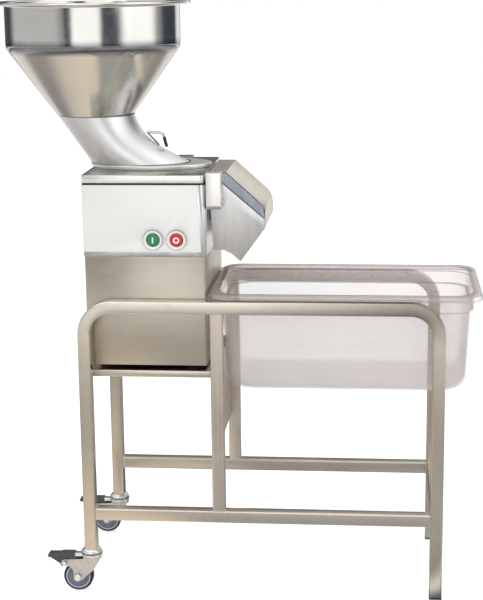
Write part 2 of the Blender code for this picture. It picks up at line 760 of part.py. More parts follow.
def make_head():
    hinge = Vector((LEFT + HOUSING_START + HOUSING_LENGTH / 2, 0.1575, 0.835))
    axis = joint_empty("head_hinge_axis", hinge)

    start = LEFT + HOUSING_START
    outline = housing_outline(start, HOUSING_LENGTH - 0.003, BODY_FRONT, HOUSING_BACK, 0.008, 0.006)
    block = upright_block(outline, HOUSING_TOP + 0.001, LID_TOP)
    lid = finish("lid_plate", block, cast_metal(), axis, hinge)
    opening = lofted([ellipse(0.120, 0.084, 0.058, z) for z in (0.80, 0.88)])
    boolean(lid, "feed_opening", opening)
    hollow = rod(0.104, HOUSING_TOP - 0.01, HOUSING_TOP + 0.010, BOWL, segments=48)
    boolean(lid, "lid_recess", hollow)

    flange = [ellipse(0.129, 0.121, 0.075, z) for z in (LID_TOP + GAP, 0.8522)]
    centre, length, width = neck_section(1, NECK_WALL)
    inside = [ellipse(centre, length, width, z) for z in (0.8522, LID_TOP + GAP)]
    finish("neck_flange", lofted(flange + inside, close_ends=True), bright_steel(), axis, hinge)

    heights = [step / 8 for step in range(9)]
    outer, inner = [], []
    for drop in heights:
        z = NECK_TOP + (NECK_BOTTOM - NECK_TOP) * drop
        outer.append(ellipse(*neck_section(drop, 0), z))
        inner.append(ellipse(*neck_section(drop, NECK_WALL), z))
    finish("feed_neck", lofted(outer + inner[::-1], close_ends=True), bright_steel(), axis, hinge)

    finish("feed_hopper", turned(hopper_section(), HOPPER, 64, closed=True), bright_steel(), axis, hinge)
    make_head_handle(axis, hinge)
    make_hinge(axis, hinge)


def hopper_section():
    """Outside from the weld up to the rolled rim, then the inside back down."""
    wall = 0.002
    foot = NECK_TOP + GAP
    radius = 0.1728
    corner = 0.032
    slope = math.radians(36.2)
    knee = 1.091
    outer = [(0.076, foot)]
    for step in range(6):
        angle = -slope * (1 - step / 5)
        out = radius - corner + corner * math.cos(angle)
        outer.append((out, knee + corner * math.sin(angle)))
    outer.append((radius, HOPPER_TOP - 0.007))
    outer += [(HOPPER_RADIUS - 0.002, HOPPER_TOP - 0.0065), (HOPPER_RADIUS, HOPPER_TOP - 0.004)]
    outer += [(HOPPER_RADIUS - 0.001, HOPPER_TOP - 0.001), (HOPPER_RADIUS - 0.004, HOPPER_TOP)]
    outer.append((radius + 0.001, HOPPER_TOP - 0.001))
    inner = [(radius - wall, HOPPER_TOP - 0.004)]
    for step in range(6):
        angle = -slope * step / 5
        out = radius - corner + (corner - wall) * math.cos(angle)
        inner.append((out, knee + (corner - wall) * math.sin(angle)))
    inner.append((0.076 - wall, foot))
    return outer + inner


def make_head_handle(axis, hinge):
    """A bent rod out of the neck's right flank, with a grip sleeve on the part that turns down."""
    bend = Vector((LEFT + 0.1525, 0, 0.9105))
    start = Vector((LEFT + 0.1195, 0, 0.9120))
    end = Vector((LEFT + 0.1600, 0, 0.8820))
    steps = [start]
    first = (bend - start).normalized()
    second = (end - bend).normalized()
    radius = 0.006
    for step in range(5):
        mix = step / 4
        corner = (bend - first * radius).lerp(bend + second * radius, mix)
        steps.append(corner.lerp(bend, 0.6 * math.sin(mix * math.pi)))
    steps.append(end)
    curve = bpy.data.curves.new("head_handle_rod", "CURVE")
    curve.dimensions = "3D"
    curve.bevel_depth = 0.0028
    curve.bevel_resolution = 3
    curve.use_fill_caps = True
    path = curve.splines.new("POLY")
    path.points.add(len(steps) - 1)
    for point, place in zip(path.points, steps):
        point.co = (*(place - hinge), 1)
    curve.materials.append(bright_steel())
    handle = bpy.data.objects.new("head_handle_rod", curve)
    bpy.context.scene.collection.objects.link(handle)
    handle.parent = axis
    along = Vector((0, 0, 1)).rotation_difference(-second).to_matrix()
    grip = ring(0.0031, 0.0048, 0.001, 0.021, (0, 0, 0), segments=20)
    bmesh.ops.rotate(grip, cent=(0, 0, 0), matrix=along, verts=grip.verts)
    bmesh.ops.translate(grip, vec=end, verts=grip.verts)
    finish("head_handle_grip", grip, black_plastic(), axis, hinge)


def make_hinge(axis, hinge):
    """Fixed bracket on the housing, moving leaf on the lid, and the pin through both."""
    bore = 0.0043
    knuckle = 0.0085
    wall_y = HOUSING_BACK + GAP
    bracket_plate = box(
        (hinge.x - 0.030, wall_y, 0.770), (hinge.x + 0.030, wall_y + 0.003, 0.822)
    )
    bracket = finish("hinge_bracket", bracket_plate, steel(), smooth=False)
    web = box((hinge.x - 0.030, wall_y, 0.815), (hinge.x + 0.030, wall_y + 0.0035, hinge.z))
    boolean(bracket, "bracket_web", web, "UNION")
    barrel = rod(knuckle, -0.030, 0.030, hinge, "X", 20)
    boolean(bracket, "bracket_barrel", barrel, "UNION")
    boolean(bracket, "bracket_bore", rod(bore, -0.05, 0.05, hinge, "X", 20))

    leaf_plate = box(
        (hinge.x - 0.062, 0.105, LID_TOP + GAP), (hinge.x + 0.062, 0.1575, LID_TOP + 0.003)
    )
    leaf = finish("hinge_leaf", leaf_plate, steel(), axis, hinge, smooth=False)
    for side, (low, high) in enumerate(((-0.062, -0.0305), (0.0305, 0.062))):
        barrel = rod(knuckle, low, high, hinge, "X", 20)
        boolean(leaf, f"leaf_barrel_{side}", barrel, "UNION")
        riser = box(
            (hinge.x + low, 0.1500, hinge.z), (hinge.x + high, 0.1600, LID_TOP + 0.003)
        )
        boolean(leaf, f"leaf_riser_{side}", riser, "UNION")
    clearance = box(
        (hinge.x - 0.0305, 0.1484, 0.80), (hinge.x + 0.0305, 0.18, LID_TOP + 0.01)
    )
    boolean(leaf, "leaf_clearance", clearance)
    boolean(leaf, "leaf_bore", rod(bore, -0.08, 0.08, hinge, "X", 20))
    pin = [(0, -0.0645), (0.0065, -0.0645), (0.0065, -0.0625), (0.004, -0.0625)]
    pin += [(0.004, 0.064), (0, 0.064)]
    finish("hinge_pin", turned(pin, hinge, 20, "X"), zinc(), axis, hinge)


# --- tray -----------------------------------------------------------------------------------------
def make_tray():
    """Clear food tray whose rim rests on the two upper rails."""
    bottom_z = RAIL_TOP + GAP + 0.011 - TRAY_DEPTH
    rim_z = RAIL_TOP + GAP
    top_z = rim_z + 0.011
    step_z = top_z - 0.036
    wall = TRAY_WALL
    # Each row is how far inside the rim's outer edge, the height and the corner radius.
    inside = [
        (0.090, bottom_z + wall, 0.020),
        (0.062, bottom_z + wall, 0.030),
        (0.040, bottom_z + 0.010, 0.045),
        (0.0312, bottom_z + 0.034, 0.048),
        (0.0215 + wall, step_z - 0.004, 0.050),
        (0.0150 + wall, step_z + 0.002, 0.050),
        (0.0145 + wall, top_z - 0.002, 0.045),
        (0.0120 + wall, top_z, 0.043),
        (0.003, top_z, 0.036),
        (0.0, top_z - 0.003, 0.038),
        (0.0, rim_z, 0.038),
        (0.0025, rim_z, 0.036),
        (0.0025, top_z - wall, 0.036),
        (0.0145, top_z - wall, 0.042),
    ]
    outside = [
        (0.0150, step_z + 0.001, 0.046),
        (0.0212, step_z - 0.006, 0.048),
        (0.0282, bottom_z + 0.034, 0.046),
        (0.0370, bottom_z + 0.008, 0.042),
        (0.060, bottom_z, 0.030),
        (0.090, bottom_z, 0.020),
    ]
    middle = Vector((LEFT + TRAY_START + TRAY_LENGTH / 2, 0, 0))
    loops = []
    for inset, z, corner in inside + outside:
        points = rounded_rectangle(TRAY_LENGTH - 2 * inset, TRAY_WIDTH - 2 * inset, corner, 5)
        loops.append([middle + Vector((p.x, p.y, z)) for p in points])
    clear = material("clear_plastic", CLEAR, 0.1, 0.0, 0.35)
    axis = joint_empty("tray_axis", middle)
    finish("clear_tray", lofted(loops), clear, axis, middle)


def main():
    clear_scene()
    make_trolley()
    make_shelf()
    make_caster("front", -LEG_Y)
    make_caster("rear", LEG_Y)
    make_motor_base()
    make_housing()
    make_drive()
    make_panel()
    make_hood()
    make_latch()
    make_head()
    make_tray()
    bpy.context.view_layer.update()


main()
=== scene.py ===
"""Looks of the vegetable preparation machine on its trolley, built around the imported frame."""

import json
import math

import bmesh
import bpy
from mathutils import Matrix, Vector


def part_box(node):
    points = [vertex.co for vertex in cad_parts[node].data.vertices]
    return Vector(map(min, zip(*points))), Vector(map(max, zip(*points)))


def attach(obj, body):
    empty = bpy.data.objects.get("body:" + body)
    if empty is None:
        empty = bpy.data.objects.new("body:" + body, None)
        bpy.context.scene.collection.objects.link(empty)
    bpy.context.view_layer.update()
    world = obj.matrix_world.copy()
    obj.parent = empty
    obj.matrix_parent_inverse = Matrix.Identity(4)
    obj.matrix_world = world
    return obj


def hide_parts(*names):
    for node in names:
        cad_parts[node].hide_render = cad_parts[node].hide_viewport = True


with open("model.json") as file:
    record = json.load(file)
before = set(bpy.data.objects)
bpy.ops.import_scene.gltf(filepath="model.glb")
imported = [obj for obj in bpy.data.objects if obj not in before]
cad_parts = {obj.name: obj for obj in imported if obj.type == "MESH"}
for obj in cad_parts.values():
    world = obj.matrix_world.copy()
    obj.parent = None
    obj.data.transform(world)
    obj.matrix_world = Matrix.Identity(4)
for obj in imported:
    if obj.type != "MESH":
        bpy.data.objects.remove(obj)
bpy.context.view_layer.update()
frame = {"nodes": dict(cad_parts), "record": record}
NODES = frame["nodes"]


# --- shader helpers -------------------------------------------------------------------------------
class Wire:
    """A shader socket that adds Math nodes when it is used in an expression."""

    def __init__(self, finish, socket):
        self.finish = finish
        self.socket = socket

    def math(self, operation, *values):
        made = self.finish.nodes.new("ShaderNodeMath")
        made.operation = operation
        for socket, value in zip(made.inputs, values):
            self.finish.plug(socket, value)
        return Wire(self.finish, made.outputs[0])

    def __add__(self, other):
        return self.math("ADD", self, other)

    def __radd__(self, other):
        return self.math("ADD", other, self)

    def __sub__(self, other):
        return self.math("SUBTRACT", self, other)

    def __rsub__(self, other):
        return self.math("SUBTRACT", other, self)

    def __mul__(self, other):
        return self.math("MULTIPLY", self, other)

    def __rmul__(self, other):
        return self.math("MULTIPLY", other, self)

    def __truediv__(self, other):
        return self.math("DIVIDE", self, other)

    def __abs__(self):
        return self.math("ABSOLUTE", self)

    def __pow__(self, other):
        return self.math("POWER", self, other)


class Finish:
    """One material: its nodes, its Principled shader and the coordinates of the piece."""

    def __init__(self, name):
        self.material = bpy.data.materials.new(name)
        self.material.use_nodes = True
        tree = self.material.node_tree
        self.nodes, self.links = tree.nodes, tree.links
        self.shader = self.nodes["Principled BSDF"]
        self.place = Wire(self, self.nodes.new("ShaderNodeTexCoord").outputs["Object"])

    def plug(self, socket, value):
        if isinstance(value, Wire):
            self.links.new(value.socket, socket)
        elif hasattr(socket.default_value, "__len__") and len(socket.default_value) == 4:
            socket.default_value = (*value[:3], 1.0)
        else:
            socket.default_value = value

    def node(self, kind, settings=None, output=0, **sockets):
        """Adds a node: its settings first, then its sockets, named with _ for a space."""
        made = self.nodes.new(kind)
        for name, value in (settings or {}).items():
            setattr(made, name, value)
        for name, value in sockets.items():
            self.plug(made.inputs[name.replace("_", " ")], value)
        return Wire(self, made.outputs[output])

    def noise(self, scale, detail=3.0, roughness=0.55, distortion=0.0):
        """Noise on the piece, stretched where the scale is given for each axis."""
        place = self.place
        if hasattr(scale, "__len__"):
            place = self.node("ShaderNodeMapping", Vector=place, Scale=tuple(scale))
            scale = 1.0
        return self.node(
            "ShaderNodeTexNoise",
            Vector=place,
            Scale=scale,
            Detail=detail,
            Roughness=roughness,
            Distortion=distortion,
        )

    def spread(self, value, low, high):
        """The value moved from a range to 0 and 1, held at its ends."""
        return self.node("ShaderNodeMapRange", {"clamp": True}, Value=value, From_Min=low, From_Max=high)

    def patches(self, scale, low, high, detail=3.0, roughness=0.55):
        """Soft-edged patches: noise spread between two levels."""
        return self.spread(self.noise(scale, detail, roughness), low, high)

    def mix(self, amount, first, second):
        """Two colours mixed by an amount."""
        made = self.nodes.new("ShaderNodeMix")
        made.data_type = "RGBA"
        self.plug(made.inputs["Factor"], amount)
        colour_inputs = [socket for socket in made.inputs if socket.type == "RGBA"]
        self.plug(colour_inputs[0], first)
        self.plug(colour_inputs[1], second)
        colour_output = [socket for socket in made.outputs if socket.type == "RGBA"][0]
        return Wire(self, colour_output)

    def axis(self, name):
        """One coordinate of the piece."""
        split = self.nodes.new("ShaderNodeSeparateXYZ")
        self.plug(split.inputs[0], self.place)
        return Wire(self, split.outputs[name])

    def around(self):
        """The heading of a place or direction, from 0 to 1, with the operator's side at a half."""
        heading = self.axis("X").math("ARCTAN2", self.axis("X"), self.axis("Y") * -1)
        return heading / math.tau + 0.5

    def ramp(self, amount, stops):
        """A colour for each stop along a range from 0 to 1, eased between them."""
        made = self.nodes.new("ShaderNodeValToRGB")
        made.color_ramp.interpolation = "EASE"
        self.plug(made.inputs["Fac"], amount)
        elements = made.color_ramp.elements
        while len(elements) < len(stops):
            elements.new(1.0)
        for element, (position, colour) in zip(elements, stops):
            element.position = position
            element.color = (*colour, 1.0)
        return Wire(self, made.outputs["Color"])

    def bump(self, height, distance):
        return self.node("ShaderNodeBump", Height=height, Distance=distance)

    def set(self, **sockets):
        for name, value in sockets.items():
            self.plug(self.shader.inputs[name.replace("_", " ")], value)
        return self.material

    def bare_metal(self, colour, roughness, height, depth):
        """Closes the finish as bare metal, with a relief of a few hundredths of a millimetre."""
        relief = self.bump(height, depth)
        return self.set(Base_Color=colour, Metallic=1.0, Roughness=roughness, Normal=relief)


class Sky(Finish):
    """The surroundings, shaded by direction."""

    def __init__(self, name):
        world = bpy.data.worlds.new(name)
        world.use_nodes = True
        bpy.context.scene.world = world
        self.nodes, self.links = world.node_tree.nodes, world.node_tree.links
        self.shader = self.nodes["Background"]
        self.place = Wire(self, self.nodes.new("ShaderNodeTexCoord").outputs["Generated"])


def headings(*stops):
    """Stops of (degrees from the operator's side, brightness or colour) along a whole turn."""
    made = []
    for degrees, tone in stops:
        colour = tone if hasattr(tone, "__len__") else (tone, tone, tone)
        made.append(((degrees + 180) / 360, colour))
    return made


# --- surroundings seen in polished metal ----------------------------------------------------------
DEEP = (0.045, 0.055, 0.070)
WALL_BANDS = headings(
    (-180, 0.15), (-160, 0.10), (-147, 0.10), (-128, DEEP), (-122, 0.20), (-110, 0.64), (-40, 0.58),
    (-29, 0.35), (-25, DEEP), (-20, DEEP), (-14, 1.40), (17, 1.40), (24, DEEP), (41, DEEP), (55, 1.40),
    (91, 1.40), (106, 0.35), (118, DEEP), (146, DEEP), (156, 0.95), (172, 0.95), (180, 0.15),
)
BEIGE = (0.95, 0.83, 0.69)
NEAR_SECTORS = headings(
    (-180, 0.20), (-135, 0.12), (-122, 0.45), (-106, 0.45), (-98, BEIGE), (-22, BEIGE), (-14, 0.42),
    (40, 0.44), (52, 0.25), (58, 1.10), (66, 0.12), (76, 1.00), (88, 0.20), (105, 0.60), (130, 0.30),
    (180, 0.20),
)
FLOOR_RINGS = [
    (0.0, (0.50, 0.47, 0.43)), (0.14, (0.62, 0.58, 0.53)), (0.20, (0.36, 0.34, 0.32)),
    (0.27, (0.36, 0.34, 0.32)), (0.36, (0.86, 0.83, 0.79)), (0.60, (0.98, 0.95, 0.92)),
    (1.0, (0.90, 0.89, 0.88)),
]


# --- finishes -------------------------------------------------------------------------------------
GRAIN = {"X": (6, 900, 900), "Y": (900, 6, 900), "Z": (900, 900, 6)}


def brushed_metal(name, colour, shade, roughness, grain, cloud):
    """Brushed metal: long fine scratches, cloudy changes of tone, and dull finger marks."""
    look = Finish(name)
    scratches = look.noise(GRAIN[grain], detail=4.0, roughness=0.7)
    coarse = look.noise(tuple(s / 6 for s in GRAIN[grain]), detail=2.0)
    clouds = look.noise(7.0, detail=2.0, roughness=0.5)
    smudges = look.patches(21.7, 0.56, 0.72)
    streaks = scratches * (1 - cloud) * 0.6 + coarse * (1 - cloud) * 0.4
    tone = look.spread(clouds * cloud + streaks, 0.32, 0.68)
    rough = roughness + (scratches - 0.5) * 0.16 + (coarse - 0.5) * 0.10 + smudges * 0.07
    return look.bare_metal(look.mix(tone, shade, colour), rough, scratches + coarse * 0.6, 0.00001)


# Where along X the painted shadow of the tray on the front rail starts and reaches its full strength.
TRAY_SHADE_FROM, TRAY_SHADE_TO = -0.02, 0.34


def bent_tube_metal(name, rail_height, rail, leg, worn):
    """Brushed tube: grain along the rail and down the legs, a painted lit tone on the rail and a painted
    shade tone on the legs, and a painted shadow of the tray towards the tray end.
    """
    look = Finish(name)
    on_rail = look.spread(look.axis("Z"), rail_height - 0.085, rail_height - 0.030)
    along = look.noise(GRAIN["X"], detail=4.0, roughness=0.7)
    down = look.noise(GRAIN["Z"], detail=4.0, roughness=0.7)
    scratches = along * on_rail + down * (1 - on_rail)
    clouds = look.noise(9.0, detail=2.0)
    marks = look.patches(30.0, 0.58, 0.72)
    tone = look.spread(clouds * 0.6 + scratches * 0.4, 0.30, 0.70)
    # Painted shadow of the tray on the rail; the worn argument sets how dark it goes.
    tray_shade = look.spread(look.axis("X"), TRAY_SHADE_FROM, TRAY_SHADE_TO) * on_rail * worn
    # Painted light: the rail and leg arguments are lit and shaded tones of the same steel.
    base = look.mix(on_rail, leg, rail)
    base = look.mix(tone * 0.22, base, (0.40, 0.36, 0.31))
    rough = 0.26 + (scratches - 0.5) * 0.16 + marks * 0.08
    return look.bare_metal(look.mix(tray_shade, base, (0.27, 0.235, 0.20)), rough, scratches, 0.00001)


def spun_metal(name, light, dark, roughness):
    """Polished metal turned on a lathe: faint rings round an upright axis, with soft clouds."""
    look = Finish(name)
    return look.bare_metal(*spun_finish(look, light, dark, roughness))


def spun_finish(look, light, dark, roughness):
    """The colour, roughness, relief and depth of spun metal."""
    lines = look.noise((3, 3, 1400), detail=3.0, roughness=0.6)
    clouds = look.noise(5.0, detail=3.0, distortion=0.4)
    fine = look.noise(60.0, detail=4.0)
    tone = look.spread(clouds * 0.7 + lines * 0.3, 0.3, 0.7)
    rough = roughness + (lines - 0.5) * 0.08 + look.spread(fine, 0.5, 0.75) * 0.05
    return look.mix(tone, dark, light), rough, lines + fine * 0.3, 0.000006


HOPPER_KNEE = 1.091


def hopper_metal():
    """Spun hopper: polished drum, a painted dark reflection along the bend and a satin cone."""
    look = Finish("polished_hopper")
    colour, rough, relief, depth = spun_finish(look, POLISH_LIGHT, POLISH_DARK, 0.13)
    high = look.axis("Z")
    # Painted reflection: a dark band round the knuckle, where the polished bend mirrors dark surroundings.
    bend = look.spread(high, HOPPER_KNEE - 0.022, HOPPER_KNEE - 0.010)
    bend = bend * (1 - look.spread(high, HOPPER_KNEE - 0.002, HOPPER_KNEE + 0.010))
    cone = 1 - look.spread(high, HOPPER_KNEE - 0.030, HOPPER_KNEE - 0.020)
    reflection_breakup = look.noise((30, 30, 90), detail=3.0)
    colour = look.mix(bend * (0.55 + reflection_breakup * 0.4), colour, (0.06, 0.075, 0.10))
    return look.bare_metal(colour, rough + cone * 0.05, relief, depth)


def cast_alloy(name, colour, shade, roughness, grain_size=700.0):
    """Satin cast alloy: very fine pebbling, clouds and a few darker pores."""
    look = Finish(name)
    pebbles = look.noise(grain_size, detail=3.0)
    clouds = look.noise(8.0, detail=3.0)
    pores = look.patches(260.0, 0.70, 0.78, detail=1.0)
    base = look.mix(look.spread(clouds, 0.35, 0.65), shade, colour)
    base = look.mix(pores * 0.35, base, (0.30, 0.30, 0.29))
    rough = roughness + (pebbles - 0.5) * 0.10 + pores * 0.10
    return look.bare_metal(base, rough, pebbles - pores * 0.4, 0.00003)


def moulded(name, colour, shade, roughness=0.45, texture=900.0):
    """Moulded plastic with a fine spark texture, a little cloudiness and scuffed patches."""
    look = Finish(name)
    spark = look.noise(texture, detail=2.0)
    clouds = look.noise(18.0, detail=3.0)
    scuffs = look.patches((90, 90, 30), 0.60, 0.75, detail=4.0)
    base = look.mix(look.spread(clouds, 0.3, 0.7), shade, colour)
    lighter = tuple(min(1.0, c * 1.25 + 0.02) for c in colour)
    return look.set(
        Base_Color=look.mix(scuffs * 0.5, base, lighter),
        Roughness=roughness + (spark - 0.5) * 0.12 + scuffs * 0.10,
        Normal=look.bump(spark, 0.00003),
    )


# Heights over which the painted shade under the panel fades out towards the foot.
PANEL_SHADE_FROM, PANEL_SHADE_TO = 0.675, 0.570


def body_sheet():
    """Brushed body sheet with a sideways grain, darker at its top with painted shade under the panel, and
    paler towards its foot.
    """
    look = Finish("brushed_body_sheet")
    scratches = look.noise(GRAIN["X"], detail=4.0, roughness=0.7)
    clouds = look.noise((5, 5, 16), detail=3.0)
    marks = look.patches(24.0, 0.58, 0.74, detail=4.0)
    out_of_panel_shade = look.spread(look.axis("Z"), PANEL_SHADE_FROM, PANEL_SHADE_TO)
    # Painted shade: the darker tone at the top, the paler one lower down.
    base = look.mix(out_of_panel_shade, (0.50, 0.45, 0.385), (0.68, 0.625, 0.545))
    tone = look.spread(clouds * 0.65 + scratches * 0.35, 0.34, 0.66)
    rough = 0.34 + (scratches - 0.5) * 0.18 + marks * 0.08
    return look.bare_metal(look.mix(tone * 0.24, base, (0.30, 0.27, 0.22)), rough, scratches, 0.00001)


def painted_panel():
    """Off-white lacquered panel: a faint brushed grain under the lacquer and a few hairline scuffs."""
    look = Finish("lacquered_panel")
    grain = look.noise(GRAIN["X"], detail=3.0)
    clouds = look.noise(9.0, detail=2.0)
    scuffs = look.patches((40, 40, 160), 0.62, 0.74, detail=4.0)
    base = look.mix(clouds * 0.7 + grain * 0.3, (0.690, 0.685, 0.665), (0.745, 0.745, 0.730))
    return look.set(
        Base_Color=look.mix(scuffs * 0.25, base, (0.66, 0.65, 0.63)),
        Metallic=0.12,
        Roughness=0.36 + (grain - 0.5) * 0.12 + scuffs * 0.1,
        Normal=look.bump(grain, 0.000004),
    )


HOOD_FOLD = 0.0972
HOOD_SIDE = 0.1095


def hood_sheet():
    """Folded sheet, toned face by face as the light falls: a lit warm tone on the skin, a painted bluish
    shade on the chamfers, a paler lit tone on the sides, and painted shade along the two folds.
    """
    look = Finish("hood_sheet")
    out = abs(look.axis("Y"))
    grain = look.noise(GRAIN["Y"], detail=4.0, roughness=0.7)
    clouds = look.noise((60, 12, 12), detail=3.0)
    chamfer = look.spread(out, HOOD_FOLD - 0.0004, HOOD_FOLD + 0.0004)
    side = look.spread(out, HOOD_SIDE - 0.0003, HOOD_SIDE + 0.0003)
    # Painted shade along the chamfer's crease and along the side edge.
    fold_shade = 1 - look.spread(abs(out - HOOD_FOLD), 0.0006, 0.0016)
    edge = 1 - look.spread(abs(out - HOOD_SIDE + 0.0006), 0.0004, 0.0012)
    tone = look.spread(grain * 0.5 + clouds * 0.5, 0.34, 0.66)
    # Painted light: the skin, chamfer and side tones are lit and shaded copies of the same sheet.
    skin = look.mix(tone, (0.66, 0.60, 0.50), (0.84, 0.77, 0.65))
    chamfer_shade = look.mix(tone, (0.24, 0.265, 0.310), (0.38, 0.410, 0.455))
    plain = look.mix(tone, (0.72, 0.72, 0.72), (0.92, 0.915, 0.91))
    base = look.mix(side, look.mix(chamfer, skin, chamfer_shade), plain)
    base = look.mix(fold_shade * 0.8 + edge * 0.75, base, (0.05, 0.06, 0.085))
    rough = 0.36 + (grain - 0.5) * 0.16 + (clouds - 0.5) * 0.10
    return look.bare_metal(base, rough, grain + clouds * 0.5, 0.00001)


LID_SEAM = 0.8286
LID_TOP = 0.8434


def lid_alloy():
    """Cast lid: a painted lit tone on the front edge, a painted reflection tone, darker olive, on the top,
    and a painted shadow in the seam along its underside.
    """
    look = Finish("lid_alloy")
    high = look.axis("Z")
    pebbles = look.noise(700.0, detail=3.0)
    clouds = look.noise((9, 26, 9), detail=3.0, distortion=0.6)
    worn = look.patches(34.0, 0.5, 0.72, detail=4.0)
    tone = look.spread(clouds, 0.36, 0.64)
    # Painted light: the front edge gets a lit tone and the top a darker reflected tone of the same alloy.
    edge = look.mix(tone, (0.80, 0.79, 0.75), (0.90, 0.89, 0.86))
    top = look.mix(tone, (0.33, 0.325, 0.285), (0.50, 0.49, 0.43))
    base = look.mix(look.spread(high, LID_TOP - 0.0003, LID_TOP + 0.0002), edge, top)
    # Painted shadow in the seam between the lid and the housing.
    base = look.mix(1 - look.spread(high, LID_SEAM, LID_SEAM + 0.0006), base, (0.05, 0.05, 0.05))
    rough = 0.27 + (pebbles - 0.5) * 0.08 + worn * 0.10
    return look.bare_metal(base, rough, pebbles, 0.00002)


HOUSING_SEAM = 0.8246


def housing_alloy():
    """Cast housing: satin, a little blue, darker along its top edge where the lid shades it."""
    look = Finish("housing_alloy")
    pebbles = look.noise(700.0, detail=3.0)
    clouds = look.noise((26, 26, 7), detail=3.0)
    pores = look.patches(260.0, 0.70, 0.78, detail=1.0)
    base = look.mix(look.spread(clouds, 0.36, 0.64), (0.62, 0.64, 0.66), (0.80, 0.81, 0.82))
    shade = look.spread(look.axis("Z"), HOUSING_SEAM, HOUSING_SEAM + 0.0006)
    base = look.mix(shade * 0.9 + pores * 0.2, base, (0.07, 0.07, 0.075))
    rough = 0.30 + (pebbles - 0.5) * 0.10 + pores * 0.1
    return look.bare_metal(base, rough, pebbles - pores * 0.4, 0.00003)


# Radii where the painted shade in the button gap ends and the painted shade on the outer side starts.
BEZEL_GAP, BEZEL_EDGE = 0.0130, 0.0176


def satin_ring(node):
    """Satin metal ring with fine turning marks, with painted shade where it meets the panel and in the gap
    round the button.
    """
    low, high = box(node)
    centre = (low + high) / 2
    look = Finish(f"{node}_satin_ring")
    marks = look.noise((900, 900, 900), detail=2.0)
    clouds = look.noise(90.0, detail=2.0)
    out = ((look.axis("X") - centre.x) ** 2 + (look.axis("Z") - centre.z) ** 2) ** 0.5
    # Painted shade on the outer side, where the ring meets the panel.
    edge = look.spread(out, BEZEL_EDGE, BEZEL_EDGE + 0.0012)
    # Painted shade in the gap round the button.
    gap = 1 - look.spread(out, BEZEL_GAP, BEZEL_GAP + 0.0012)
    base = look.mix(clouds, (0.80, 0.79, 0.77), (0.92, 0.91, 0.89))
    base = look.mix(edge * 0.85, base, (0.20, 0.19, 0.18))
    return look.set(
        Base_Color=look.mix(gap * 0.7, base, (0.16, 0.16, 0.16)),
        Metallic=0.15,
        Roughness=0.40 + (marks - 0.5) * 0.15,
        Normal=look.bump(marks, 0.00001),
    )


def zinc_plate(name, dark=(0.48, 0.50, 0.52), light=(0.70, 0.72, 0.74), roughness=0.30):
    """Bright zinc plating: small crystals of slightly different tone and a soft sheen."""
    look = Finish(name)
    crystals = look.node("ShaderNodeTexVoronoi", output="Color", Vector=look.place, Scale=260.0)
    tone = look.node("ShaderNodeRGBToBW", Color=crystals)
    clouds = look.noise(40.0, detail=3.0)
    fine = look.noise(900.0, detail=2.0)
    base = look.mix(tone * 0.5 + clouds * 0.5, dark, light)
    rough = roughness + tone * 0.12 + (fine - 0.5) * 0.08
    return look.bare_metal(base, rough, fine + tone * 0.4, 0.00002)


# Heights of the tray's rim and step edges, with half the width of the painted shade line along each.
CLEAR_SHADE_LINES = ((0.6128, 0.0006), (0.6026, 0.0006), (0.5775, 0.0007))


def clear_plastic():
    """Clear polycarbonate with a faint warm tint, hazier where it has been scratched by washing, and painted
    shade lines along the rim and step.
    """
    look = Finish("clear_polycarbonate")
    look.material.use_transparency_overlap = True
    scratches = look.patches((14, 14, 220), 0.50, 0.80, detail=4.0, roughness=0.75)
    haze = look.patches(9.0, 0.35, 0.70)
    edge = look.node("ShaderNodeLayerWeight", output="Facing", Blend=0.35)
    high = look.axis("Z")
    # Painted shade: darker, less clear lines along the rim and step edges.
    lines = 0.0
    for level, half_width in CLEAR_SHADE_LINES:
        lines = lines + (1 - look.spread(abs(high - level), half_width, half_width * 2))
    tint = look.mix(haze, (0.53, 0.470, 0.445), (0.60, 0.540, 0.515))
    look.shader.inputs["IOR"].default_value = 1.585
    return look.set(
        Base_Color=look.mix(look.spread(lines, 0, 1), tint, (0.36, 0.29, 0.28)),
        Roughness=0.10 + scratches * 0.20 + haze * 0.06,
        Alpha=0.225 + haze * 0.035 + scratches * 0.05 + edge**2.2 * 0.55 + lines * 0.30,
        Normal=look.bump(scratches + haze * 0.5, 0.00002),
    )


def rubber(name, colour):
    """Dark rubber with a fine grain and a little grey dust."""
    look = Finish(name)
    grain = look.noise(1200.0, detail=2.0)
    dust = look.patches(60.0, 0.52, 0.75, detail=4.0)
    return look.set(
        Base_Color=look.mix(dust * 0.6, colour, tuple(c + 0.07 for c in colour)),
        Roughness=0.75 + (grain - 0.5) * 0.1,
        Normal=look.bump(grain, 0.00005),
    )


TUBE_LIGHT = (0.74, 0.675, 0.60)
TUBE_DARK = (0.65, 0.585, 0.515)
# Painted light: the rails get lit tones and the legs shaded tones of the same steel, and the rear rail is
# lifted to make up for the shade of the tray in front of it.
RAIL_FRONT_LIT = (0.80, 0.745, 0.665)
LEG_FRONT_SHADED = (0.71, 0.655, 0.565)
RAIL_REAR_LIT = (0.97, 0.93, 0.90)
LEG_REAR_SHADED = (0.62, 0.575, 0.51)
POLISH_LIGHT = (0.74, 0.73, 0.70)
POLISH_DARK = (0.62, 0.605, 0.575)

